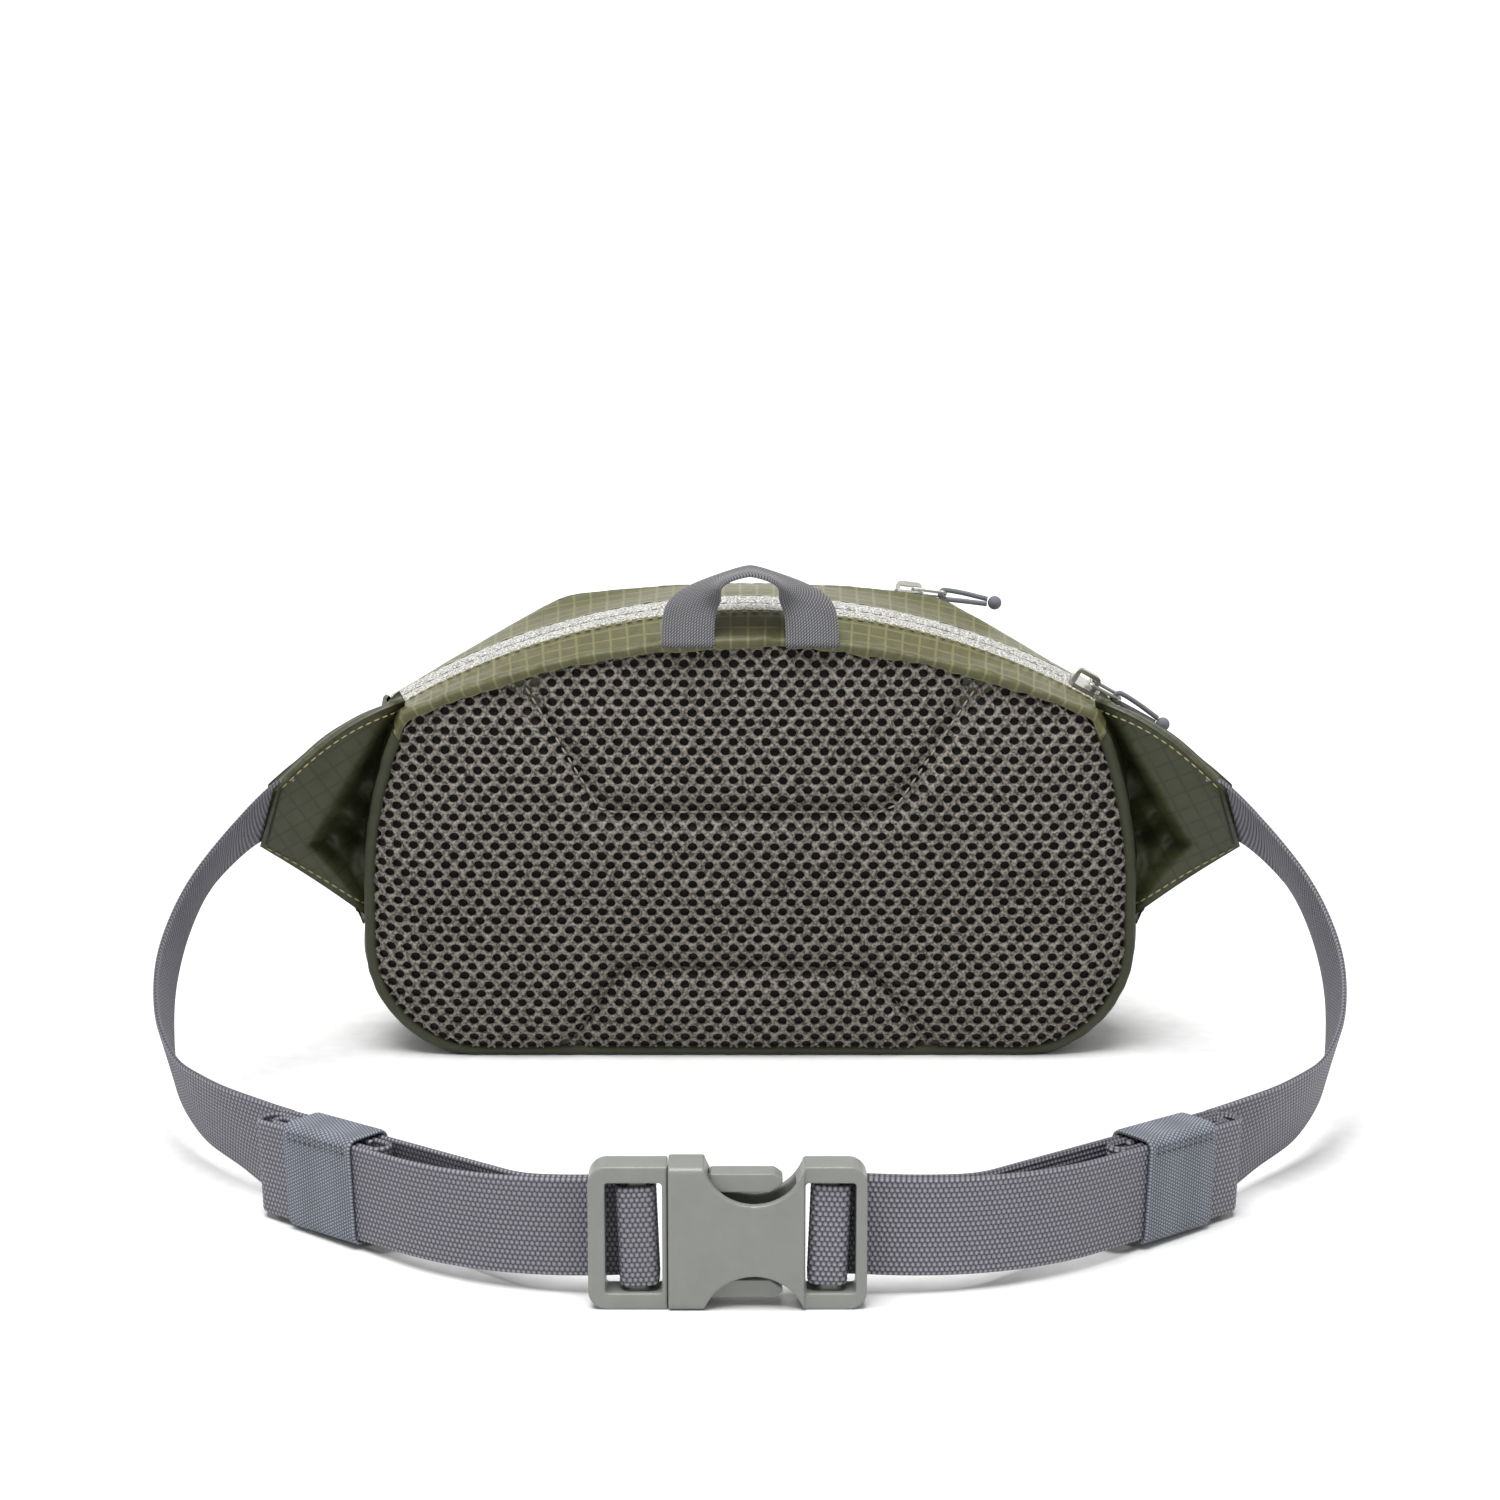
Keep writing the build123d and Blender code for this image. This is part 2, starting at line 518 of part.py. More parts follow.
def scoop(depth, upper):
    """Round bite that bares a prong, cut through the housing."""
    chord = 24
    radius = ((chord / 2) ** 2 + depth**2) / (2 * depth)
    z = BUCKLE["height"] - depth + radius if upper else depth - radius
    return Pos(1, 0, z) * Rot(90, 0, 0) * Cylinder(radius, 40)


def buckle_housing():
    """Socket half, with the bites that bare the prongs and its webbing frame."""
    high, seam, end = BUCKLE["height"], BUCKLE["seam"], BUCKLE["socket_end"]
    block = Pos((seam + end) / 2, 0, high / 2) * Box(end - seam, 2 * BUCKLE["half"], high)
    block = fillet(block.edges().filter_by(Axis.X), 1.6)
    room = CAVITY
    cavity = Pos((seam + room["end"]) / 2 - 1, 0, high / 2) * Box(
        room["end"] - seam + 2, 2 * room["half"], high - 2 * room["low"])
    pads = Pos((PRONG["shoulder"] + PRONG["tip"]) / 2, 0, high / 2) * Box(
        PRONG["tip"] - PRONG["shoulder"] + 1, 2 * room["half"], high + 2)
    block = block - cavity - pads - scoop(9.5, True) - scoop(8.5, False)
    frame = webbing_frame(end - 3, BUCKLE["right"], HOUSING_BAR_X, end + 0.2, 25.2)
    inside = Pos((seam + room["end"]) / 2, 0, high / 2) * Box(room["end"] - seam, 60, 60)
    return Pos(0, BUCKLE_Y, 0) * (block + (frame - inside - scoop(9.5, True) - scoop(8.5, False)))


def buckle_plug():
    """Plug half without its prongs: webbing frame, shoulder wall and guide tongue."""
    seam, high = BUCKLE["seam"] - 0.15, BUCKLE["height"]
    frame = webbing_frame(BUCKLE["left"], seam, PLUG_BAR_X, -34.5, -20.9)
    tongue = Pos(seam + 11.8, 0, high / 2) * Box(23.8, 5.6, 5.8)
    tongue = fillet(tongue.edges().filter_by(Axis.Y), 1.5)
    wall = Pos(seam - 0.6, 0, high / 2) * Box(1.2, 8, 28)
    return Pos(0, BUCKLE_Y, 0) * (frame + wall + tongue)


def prong(upper):
    """Springy arm with its release pad."""
    size = PRONG
    low = size["outer"] - 4.6
    outline_points = [
        (size["root"], low), (size["tip"] - 3, low), (size["tip"], low + 2), (size["tip"], size["outer"] - 1.5),
        (size["tip"] - 2, size["outer"]), (size["shoulder"], size["outer"]),
        (size["shoulder"], low + size["thick"]), (size["root"], low + size["thick"])]
    face = Face(Wire.make_polygon([Vector(x, -size["half"], z) for x, z in outline_points], close=True))
    arm = extrude(face, amount=2 * size["half"], dir=(0, 1, 0))
    arm = fillet(arm.edges().filter_by(Axis.Y).group_by(Axis.X)[-1], 0.9)
    if not upper:
        arm = arm.mirror(Plane.XY.offset(BUCKLE["height"] / 2))
    return Pos(0, BUCKLE_Y, 0) * arm


# ---------------------------------------------------------------- handle
def handle_middle(step):
    """Middle line of the handle: steep legs from -1 and 1, and a low crown at 0."""
    height = 1 - abs(step)
    side = -1 if step < 0 else 1
    hinge_y, hinge_z = HANDLE_HINGE
    bow = height**0.88
    return Vector(side * HANDLE["half_span"] * (1 - height**2.6) ** 0.75,
                  hinge_y + HANDLE["lean"] * bow, hinge_z + HANDLE["rise"] * bow)


def handle():
    """Webbing loop: both ends stand flat on the back seam, and it turns a quarter to lie flat at its crown."""
    sections = []
    for step in [-s for s in HANDLE_STEPS] + [0] + HANDLE_STEPS[::-1]:
        turn = min(1.0, max(0.0, (0.7 - abs(step)) / 0.65))
        spin = radians(90) * turn**2 * (3 - 2 * turn)
        side = -1 if step < 0 else 1
        wide = Vector(side * cos(spin), sin(spin), 0)
        ahead = handle_middle(min(1, step + 0.01)) - handle_middle(max(-1, step - 0.01))
        ahead = (ahead - wide * ahead.dot(wide)).normalized()
        middle = handle_middle(step)
        sections.append(quad(middle, wide, wide.cross(ahead), HANDLE["width"], HANDLE["thick"]))
    return lofted(sections)


def handle_bartacks():
    """Dense stitching that holds the handle's ends to the seam."""
    tack = Box(HANDLE["width"] - 2, 0.7, 1.8)
    return Compound(children=[
        Pos(side * HANDLE["half_span"], BINDING_Y - 0.36, HANDLE_HINGE[1] - 2.4) * tack for side in (-1, 1)])


# ---------------------------------------------------------------- assembly
def mirrored(shape):
    return shape.mirror(Plane.YZ)


def build():
    bag()
    main_coil()
    zips()
    back_panel()
    nodes["belt_left_front"] = belt_front(PLUG_BAR_X)
    nodes["belt_right_front"] = mirrored(belt_front(-HOUSING_BAR_X))
    nodes["keeper_left"] = keeper()
    nodes["keeper_right"] = mirrored(keeper())
    side = belt_side()
    nodes["belt_left_side"] = side
    nodes["belt_right_side"] = mirrored(side)
    for name, shift in (("inner", -2.2), ("outer", 2.2)):
        layer = wing_layer(shift)
        nodes["wing_left_" + name] = layer
        nodes["wing_right_" + name] = mirrored(layer)
    nodes["buckle_housing"] = buckle_housing()
    nodes["buckle_plug"] = buckle_plug()
    nodes["buckle_prong_upper"] = prong(True)
    nodes["buckle_prong_lower"] = prong(False)
    nodes["handle_webbing"] = handle()
    nodes["handle_bartacks"] = handle_bartacks()

    os.makedirs("parts", exist_ok=True)
    for name, shape in nodes.items():
        solids = [s.moved(Location((0, PANEL_Y, 0))) for s in shape.solids()]
        export_step(Compound(children=solids) if len(solids) > 1 else solids[0], f"parts/{name}.step")


build()
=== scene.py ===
"""Looks of the waist pack: sewn ripstop panels, quilted spacer mesh, zips, ribbed webbing and a moulded buckle.

Shapes are worked out in millimetres with the back panel in the plane y = 0, as in the part's source, and
turned into the row frame's metres by metres(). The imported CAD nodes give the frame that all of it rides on.
"""
import math
from functools import lru_cache

import bpy
import numpy as np
from mathutils import Matrix, Vector, noise


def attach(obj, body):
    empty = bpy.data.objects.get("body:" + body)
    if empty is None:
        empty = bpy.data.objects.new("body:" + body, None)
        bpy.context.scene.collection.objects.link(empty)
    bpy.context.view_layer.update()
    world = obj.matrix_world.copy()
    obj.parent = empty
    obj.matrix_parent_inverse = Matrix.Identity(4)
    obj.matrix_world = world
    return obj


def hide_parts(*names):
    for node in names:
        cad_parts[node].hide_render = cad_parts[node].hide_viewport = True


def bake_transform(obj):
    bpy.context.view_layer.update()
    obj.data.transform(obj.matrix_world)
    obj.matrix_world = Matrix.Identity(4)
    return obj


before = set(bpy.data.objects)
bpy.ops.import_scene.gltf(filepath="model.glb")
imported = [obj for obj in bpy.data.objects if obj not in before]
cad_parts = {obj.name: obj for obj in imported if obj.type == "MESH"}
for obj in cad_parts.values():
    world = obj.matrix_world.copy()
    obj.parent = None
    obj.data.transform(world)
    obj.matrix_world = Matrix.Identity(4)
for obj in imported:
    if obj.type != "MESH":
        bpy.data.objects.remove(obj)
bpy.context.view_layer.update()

# ---------------------------------------------------------------- sizes, in millimetres
MM = 0.001
PANEL_Y = 62.5
WALL = 1.1

# Outlines of the bag by y: top, arch radius, arch half angle, half width, its height, corner radius, bottom.
STATION_Y = [0.8, 13, 24, 44, 60, 76, 84]
STATIONS = dict(
    top=[126, 131.6, 134, 134.4, 126, 106, 93],
    radius=[243, 202.6, 205, 420, 411.6, 360, 330],
    half=[24.6, 31.5, 31.5, 8.6, 8.6, 8, 7.5],
    side=[113, 113.6, 114, 106, 98, 86, 72],
    waist=[50, 52, 52, 55, 55, 52, 50],
    corner=[34, 33, 32, 30, 28, 26, 24],
    bottom=[0, 0, 0, 0, 0, 5, 14],
)
ZIP_AXIS_Z, ZIP_END, FLAP_END = -71, 31.5, 17.6
SEAM_Y = 44
TOP_N, SIDE_N, STRAIGHT_N, CORNER_N, BOTTOM_N = 240, 40, 12, 28, 120

ZIP_BACK_Y, ZIP_Y, ZIP_FRONT_Y = 13, 18.5, 24
SLOT = 0.14
POCKET_ZIP_Y, POCKET_TAPE = 49.5, 4.2

PAD_EDGE = 2.3
PAD_CROWN = 9.0
HOLE_PITCH, HOLE_ROW, HOLE_R = 4.8, 2.8, 1.34
NET_EDGE = 1.3
NET_THICK = 1.5

WEB = 25.0
WEB_THICK = 1.5
KEEPER_AT, KEEPER_TURN = (-104, -155), 42
INNER_PLY, OUTER_PLY, PLY = 4.5, -4.9, 1.8
STACK_START = -26
FRONT_BEND = 81
SIDE_BENDS = [(211, 9.6), (78.3, 69.5), (31, 29.4)]
SIDE_LEAN = [0, 16, 19, 14, 7, -8, -26, -35]
SIDE_RISE = [0, 0.034, 0.065, 0.176, 0.372, 0.605, 0.833, 1]
WING_TIP_Z = 73.3
BELT_Z = 14.8
BUCKLE_Y, BUCKLE_HIGH = -203, 35.7
PLUG_BAR_X, HOUSING_BAR_X = -26.8, 18.9
BAR_W, BAR_FRONT, FRAME_BACK, BAR_EASE = 5.0, -2.5, 3.8, 0.8
MIDDLE_Z = BUCKLE_HIGH / 2
TILT = math.atan((MIDDLE_Z - BELT_Z) / (PLUG_BAR_X - KEEPER_AT[0]))

HANDLE_W, HANDLE_THICK, HANDLE_SPAN, HANDLE_RISE, HANDLE_LEAN = 15.4, 1.4, 18, 17.5, 5.5
HANDLE_HINGE = (-0.6, 126.9)
LEG_FORWARD, LEG_DOWN = 3.6, 3.4

WING_ROOT_TOP, WING_ROOT_LOW = (-101, 5, 106), (-112.6, 5, 40)
WING_TIP_UP, WING_TIP_DOWN, WING_THICK, FOLD_DEPTH = 11, 12, 3.4, 11

CAMERA_BACK, CAMERA_HIGH = 983.9 * MM, 0.302
CAMERA_DOWN, LENS = 0.210, 82.64


# ---------------------------------------------------------------- meshes
def metres(points):
    """Working millimetres to the row frame's metres."""
    return (np.asarray(points, float) + [0, PANEL_Y, 0]) * MM


def add_mesh(name, points, faces, material, uv=None):
    """Mesh object from points in millimetres. uv holds one pair in millimetres for each point."""
    mesh = bpy.data.meshes.new(name)
    mesh.from_pydata(metres(points).tolist(), [], [list(map(int, f)) for f in faces])
    mesh.update()
    if uv is not None:
        layer = mesh.uv_layers.new(name="UVMap")
        corner = np.empty(len(mesh.loops), dtype=np.int32)
        mesh.loops.foreach_get("vertex_index", corner)
        layer.data.foreach_set("uv", (np.asarray(uv, float)[corner] * 0.1).ravel())
    mesh.materials.append(material)
    mesh.shade_smooth()
    obj = bpy.data.objects.new(name, mesh)
    bpy.context.scene.collection.objects.link(obj)
    return obj


def grid_faces(nu, nv, start=0, flip=False, closed=False):
    """Quads of a grid whose point (i, j) is number start + i * nv + j."""
    rows = np.arange(nu if closed else nu - 1)
    i, j = np.meshgrid(rows, np.arange(nv - 1), indexing="ij")
    k = (i + 1) % nu
    quads = np.stack([i * nv + j, k * nv + j, k * nv + j + 1, i * nv + j + 1], -1).reshape(-1, 4) + start
    return quads[:, ::-1] if flip else quads


def grid_normals(grid):
    """Unit normals of a grid of points."""
    du = np.gradient(grid, axis=0)
    dv = np.gradient(grid, axis=1)
    normal = np.cross(du, dv)
    return normal / np.maximum(np.linalg.norm(normal, axis=-1, keepdims=True), 1e-9)


def unit(rows):
    """Vectors in rows, each scaled to length 1."""
    return rows / np.linalg.norm(rows, axis=-1, keepdims=True)


def arc_length(points):
    """Running length along a row of points."""
    return np.concatenate([[0], np.cumsum(np.linalg.norm(np.diff(points, axis=0), axis=1))])


def at_marks(marks, run, points):
    """Points at given running lengths along a row of points."""
    return np.stack([np.interp(marks, run, column) for column in points.T], -1)


def cloth_uv(along, across):
    """Cloth coordinates of a grid from a length along it and a length across it."""
    return np.stack(np.meshgrid(along, across, indexing="ij"), -1)


def panel(name, grid, thick, material, uv, outward, closed=False):
    """Closed sheet whose outer face is the grid. outward is +1 or -1 along the grid's own normals."""
    nu, nv = grid.shape[:2]
    if closed:
        wrapped = np.concatenate([grid[-1:], grid, grid[:1]], 0)
        normal = grid_normals(wrapped)[1:-1] * outward
    else:
        normal = grid_normals(grid) * outward
    back = grid - normal * thick
    count = nu * nv
    points = np.concatenate([grid.reshape(-1, 3), back.reshape(-1, 3)])
    faces = [grid_faces(nu, nv, flip=outward < 0, closed=closed),
             grid_faces(nu, nv, count, flip=outward > 0, closed=closed)]
    index = np.arange(count).reshape(nu, nv)
    edges = [index[:, 0][::-1], index[:, -1]]
    if closed:
        edges = [np.append(e, e[0]) for e in edges]
    else:
        edges += [index[0, :], index[-1, :][::-1]]
    for line in edges:
        a, b = line[:-1], line[1:]
        rim = np.stack([a, b, b + count, a + count], -1)
        faces.append(rim if outward < 0 else rim[:, ::-1])
    uv = np.asarray(uv, float).reshape(-1, 2)
    return add_mesh(name, points, np.concatenate(faces), material, np.concatenate([uv, uv]))


def ridge_noise(points, scale, seed=0.0):
    """Soft noise from -1 to 1 at points in millimetres."""
    flat = np.asarray(points, float).reshape(-1, 3)
    values = [noise.noise(Vector((p[0] / scale[0] + seed, p[1] / scale[1], p[2] / scale[2]))) for p in flat]
    return np.array(values).reshape(np.asarray(points).shape[:-1])


# ---------------------------------------------------------------- bag outlines
@lru_cache(maxsize=None)
def outline(number, inset):
    """Points (x, z) of one station, from the top's left end clockwise as the wearer's side shows it."""
    size = {key: values[number] for key, values in STATIONS.items()}
    radius, half = size["radius"] - inset, math.radians(size["half"])
    axis_z = size["top"] - size["radius"]
    end_x, end_z = radius * math.sin(half), axis_z + radius * math.cos(half)
    side, waist = size["side"] - inset, size["waist"]
    corner, bottom = size["corner"] - inset, size["bottom"] + inset
    reach = side - end_x
    bend = (reach**2 + (end_z - waist) ** 2) / (2 * reach)
    turn = math.atan2(end_z - waist, end_x - side + bend)
    top = [(radius * math.sin(a), axis_z + radius * math.cos(a)) for a in np.linspace(-half, half, TOP_N)]
    right = [(side - bend + bend * math.cos(a), waist + bend * math.sin(a))
             for a in np.linspace(turn, 0, SIDE_N)[1:]]
    right += [(side, z) for z in np.linspace(waist, bottom + corner, STRAIGHT_N)[1:]]
    right += [(side - corner + corner * math.cos(a), bottom + corner - corner * math.sin(a))
              for a in np.linspace(0, math.pi / 2, CORNER_N)[1:]]
    under = [(x, bottom) for x in np.linspace(side - corner, corner - side, BOTTOM_N)[1:-1]]
    left = [(-x, z) for x, z in reversed(right)]
    points = np.array(top + right + under + left)
    return points if number < 3 else rounded(points)


def rounded(points, reach=30):
    """Outline with the corners at both ends of its arch eased, as stuffed cloth eases them."""
    kernel = np.hanning(2 * reach + 1)
    wrapped = np.vstack([points[-reach:], points, points[:reach]])
    soft = np.column_stack([np.convolve(wrapped[:, k], kernel / kernel.sum(), "valid") for k in (0, 1)])
    place = np.arange(len(points))
    near = np.minimum(np.abs(place - TOP_N), np.minimum(place, len(points) - place))
    weight = np.exp(-((near / 26) ** 4))[:, None]
    return points * (1 - weight) + soft * weight


def ring(y, inset=0.0):
    """Points round the bag at y: flat between the sewn seams, and rounded where the pocket slopes."""
    rows = np.array([outline(number, inset) for number in range(len(STATION_Y))])
    i = int(np.clip(np.searchsorted(STATION_Y, y) - 1, 0, len(STATION_Y) - 2))
    slopes = np.diff(rows, axis=0) / np.diff(STATION_Y)[:, None, None]
    if STATION_Y[i] < SEAM_Y:
        return rows[i] + slopes[i] * (y - STATION_Y[i])
    start = slopes[i] if STATION_Y[i] == SEAM_Y else (slopes[i - 1] + slopes[i]) / 2
    end = slopes[i] if i == len(slopes) - 1 else (slopes[i] + slopes[i + 1]) / 2
    step = STATION_Y[i + 1] - STATION_Y[i]
    t = (y - STATION_Y[i]) / step
    return ((2 * t**3 - 3 * t**2 + 1) * rows[i] + (t**3 - 2 * t**2 + t) * step * start
            + (3 * t**2 - 2 * t**3) * rows[i + 1] + (t**3 - t**2) * step * end)


def whole(y):
    """Every column of the ring, closed on itself."""
    points = ring(y)
    return np.vstack([points, points[:1]])


def part_of(first, last):
    """Ring columns by number, for the pocket."""
    return lambda y: whole(y)[first:last + 1]


def over_top(a0, a1, count=None):
    """Columns at even angles about the main zip's axis, for the top of the main compartment."""
    angles = np.radians(np.linspace(a0, a1, count or max(6, round((a1 - a0) * 3.6))))

    def at(y):
        points = ring(y)
        points = points[points[:, 1] > 40]
        around = np.arctan2(points[:, 0], points[:, 1] - ZIP_AXIS_Z)
        order = np.argsort(around)
        far = np.hypot(points[:, 0], points[:, 1] - ZIP_AXIS_Z)
        r = np.interp(angles, around[order], far[order])
        return np.column_stack([r * np.sin(angles), ZIP_AXIS_Z + r * np.cos(angles)])
    return at


def below_top(y, count=420):
    """The rest of the way round: down one side, along the bottom and up the other."""
    points = ring(y)
    around = np.degrees(np.arctan2(points[:, 0], points[:, 1] - ZIP_AXIS_Z))
    low = points[~((np.abs(around) < ZIP_END) & (points[:, 1] > 40))]
    end = over_top(-ZIP_END, ZIP_END, 3)(y)
    start = int(np.argmin(np.hypot(*(low - end[2]).T)))
    line = np.vstack([end[2:], np.roll(low, -start, axis=0), end[:1]])
    run = arc_length(line)
    marks = np.linspace(0, run[-1], count)
    return at_marks(marks, run, line)


def surface(columns, ys):
    """Grid of bag surface points for a maker of columns and a row of y, and its cloth coordinates."""
    rows = [columns(y) for y in ys]
    grid = np.stack([np.column_stack([row[:, 0], np.full(len(row), y), row[:, 1]])
                     for row, y in zip(rows, ys)], 1)
    return grid, cloth_uv(arc_length(grid[:, 0]), np.asarray(ys, float))


RING_N = len(ring(10))


def fabric(name, columns, ys, material, swell=0.0, wrinkle=0.5, pucker=0.35, seed=0.0, thick=WALL, fade=6.0):
    """Sewn panel: it swells between its seams, wrinkles, and puckers along its first and last rows."""
    grid, uv = surface(columns, ys)
    normal = grid_normals(grid)
    span = (np.asarray(ys) - ys[0]) / (ys[-1] - ys[0])
    seam = np.minimum(np.asarray(ys) - ys[0], ys[-1] - np.asarray(ys))
    away = swell * np.sin(np.pi * span)[None, :]
    soft = wrinkle * (1 - np.exp(-seam / fade))[None, :]
    away = away + soft * ridge_noise(grid, (26, 13, 26), seed)
    away = away + 0.5 * soft * ridge_noise(grid, (9, 6, 9), seed + 7)
    away = away + pucker * np.exp(-seam / 2.5)[None, :] * ridge_noise(grid, (3.2, 8, 3.2), seed + 3)
    grid = grid + normal * away[..., None]
    grid[..., 2] = np.maximum(grid[..., 2], 0)
    return panel(name, grid, thick, material, uv, 1)


# ---------------------------------------------------------------- ribbons
def turned(angle):
    """Unit step (x, y) at an angle in degrees."""
    return np.array([math.cos(math.radians(angle)), math.sin(math.radians(angle))])


ALONG, INWARD = turned(-KEEPER_TURN), turned(90 - KEEPER_TURN)


def stack_point(along, inward):
    """Plan of a place in the left keeper's stack of webbing."""
    return np.array(KEEPER_AT, float) + ALONG * along + INWARD * inward


def walk(start, heading, steps, pitch=1.2):
    """Points and headings along lines (length, 0) and bends (radius, angle)."""
    points, headings = [np.array(start, float)], [heading]
    for size, angle in steps:
        if angle == 0:
            count = max(1, round(size / pitch))
            begin = points[-1]
            points += [begin + turned(heading) * size * k / count for k in range(1, count + 1)]
            headings += [heading] * count
            continue
        side = 90 if angle > 0 else -90
        centre = points[-1] + turned(heading + side) * size
        count = max(2, round(max(size * math.radians(abs(angle)) / pitch, abs(angle) / 8)))
        for k in range(1, count + 1):
            now = heading + angle * k / count
            points.append(centre - turned(now + side) * size)
            headings.append(now)
        heading += angle
    return np.array(points), np.array(headings)


def ribbon(name, middles, wides, thins, material, width=WEB, thick=WEB_THICK, ribs=20, deep=0.16, closed=False):
    """Woven tape swept along middles: ribs run its length, its edges are rounded."""
    across = np.linspace(-1, 1, ribs * 4 + 1)
    lift = deep * np.abs(np.cos(np.pi * ribs * (across + 1) / 2)) - deep
    half = thick / 2
    past = (np.abs(across) * width / 2 - (width / 2 - half)).clip(0) / half
    edge = half * np.sqrt(np.clip(1 - past**2, 0, 1))
    face = edge + lift * (edge > half * 0.8)
    section = np.concatenate([np.column_stack([across * width / 2, face]),
                              np.column_stack([across * width / 2, -face])[::-1][1:-1]])
    middles, wides, thins = (np.asarray(a, float) for a in (middles, wides, thins))
    grid = middles[:, None] + wides[:, None] * section[None, :, :1] + thins[:, None] * section[None, :, 1:]
    count, size = grid.shape[:2]
    i, j = np.meshgrid(np.arange(count if closed else count - 1), np.arange(size), indexing="ij")
    k, m = (i + 1) % count, (j + 1) % size
    faces = list(np.stack([i * size + j, i * size + m, k * size + m, k * size + j], -1).reshape(-1, 4))
    if not closed:
        faces += [list(range(size))[::-1], list(range((count - 1) * size, count * size))]
    uv = cloth_uv(arc_length(middles), section[:, 0]).reshape(-1, 2)
    return add_mesh(name, grid.reshape(-1, 3), faces, material, uv)


def front_path(bar_x):
    """Plan of the front webbing, left side: stack, buckle bar, and back to the rolled tail."""
    half = WEB_THICK / 2 + BAR_EASE
    fold = 1.6
    left, right = bar_x - BAR_W / 2 - half, bar_x + BAR_W / 2 + half
    front = BUCKLE_Y + BAR_FRONT - WEB_THICK / 2 - 0.2
    tail_y = BUCKLE_Y + FRAME_BACK + 0.2 + WEB_THICK / 2
    main_y = tail_y + PLY
    lean = math.radians(KEEPER_TURN)
    bend_start = (stack_point(0, OUTER_PLY)[1] - tail_y - FRONT_BEND * (1 - math.cos(lean))) / math.sin(lean)
    bend_end_x = stack_point(bend_start, OUTER_PLY)[0] + FRONT_BEND * math.sin(lean)
    wide, shared = FRONT_BEND - PLY, 12.4
    join = np.array([bend_end_x - wide * math.sin(math.radians(shared)),
                     main_y + wide * (1 - math.cos(math.radians(shared)))])
    change = turned(90 - shared) - turned(90 - KEEPER_TURN)
    short = (stack_point(0, INNER_PLY) - join) @ INWARD / (change @ INWARD)
    knee = join + change * short
    start = stack_point(STACK_START, INNER_PLY)
    steps = [(np.linalg.norm(knee - start), 0), (short, KEEPER_TURN - shared), (wide, shared),
             (right - fold - bend_end_x, 0), (fold, -90), (main_y - front - 2 * fold, 0), (fold, -90),
             (right - left - 2 * fold, 0), (fold, -90), (tail_y - front - 2 * fold, 0), (fold, 90)]
    steps += [(left - fold - bend_end_x, 0)] if left - fold - bend_end_x > 0.01 else []
    # the lines above run from the keeper to the bar; from here the tail runs back and is rolled up
    steps += [(FRONT_BEND, -KEEPER_TURN)]
    at = bend_start
    roll = [(OUTER_PLY, -22), (2.3, 17), (-3.1, -19), (0.5, 13)]
    for (ply, end), (next_ply, _) in zip(roll, roll[1:]):
        steps += [(abs(end - at), 0), (abs(next_ply - ply) / 2, -180)]
        at = end
    steps += [(abs(roll[-1][1] - at), 0)]
    return walk(start, -KEEPER_TURN, steps, 1.6)


def tilt(points):
    """The belt's front sinks from the buckle towards the keeper."""
    points = np.array(points, float)
    x, z = points[..., 0] - PLUG_BAR_X, points[..., 2] - MIDDLE_Z
    c, s = math.cos(TILT), math.sin(TILT)
    points[..., 0], points[..., 2] = PLUG_BAR_X + c * x - s * z, MIDDLE_Z + s * x + c * z
    return points


def tilt_way(ways):
    """Directions turned as tilt() turns points."""
    origin = np.array([PLUG_BAR_X, 0, MIDDLE_Z])
    return tilt(np.asarray(ways, float) + origin) - origin


def mirror_if(side, array):
    """What is built on the left (side -1), turned over for the right (side 1)."""
    array = np.array(array, float)
    array[..., 0] *= -side
    return array


def belt_front(name, side, bar_x, material):
    """Front webbing of one side, from under the keeper round the buckle's bar to the rolled tail."""
    plan, headings = front_path(bar_x)
    middles = tilt(np.column_stack([plan, np.full(len(plan), MIDDLE_Z)]))
    wides = tilt_way(np.tile([0.0, 0, 1], (len(plan), 1)))
    thins = tilt_way([[*turned(h + 90), 0] for h in headings])
    return ribbon(name, mirror_if(side, middles), mirror_if(side, wides), mirror_if(side, thins), material)


def side_frames():
    """Middles, widths and normals of the left side webbing, from the keeper to the wing, as it leans and rises."""
    start = stack_point(STACK_START + 4, INNER_PLY)
    start_z = MIDDLE_Z - (PLUG_BAR_X - start[0]) * math.sin(TILT)
    curved = sum(radius * math.radians(angle) for radius, angle in SIDE_BENDS)
    straight, end = 5.1, 5
    bends = [(radius, -angle) for radius, angle in SIDE_BENDS]
    plan, headings = walk(start, 180 - KEEPER_TURN, [(straight, 0)] + bends + [(end, 0)])
    share = np.clip((arc_length(plan) - straight) / curved, 0, 1)
    knots = np.linspace(0, 1, len(SIDE_LEAN))
    kernel = np.exp(-0.5 * (np.linspace(-1, 1, 15) / 0.4) ** 2)
    lean, z = (np.convolve(np.pad(values, 7, mode="edge"), kernel / kernel.sum(), "valid") for values in (
        np.interp(share, knots, SIDE_LEAN),
        start_z + (WING_TIP_Z - start_z) * np.interp(share, knots, SIDE_RISE)))
    z = z + 3.2 * np.clip((share - 0.8) / 0.2, 0, 1) ** 2
    middles = np.column_stack([plan, z])
    wides, thins = [], []
    for h, a in zip(headings, np.radians(lean)):
        outward, ahead = turned(h + 90), turned(h)
        wide = np.array([*(outward * math.sin(a)), math.cos(a)])
        wides.append(wide)
        thins.append(np.cross([*ahead, 0], wide))
    return middles, np.array(wides), np.array(thins)


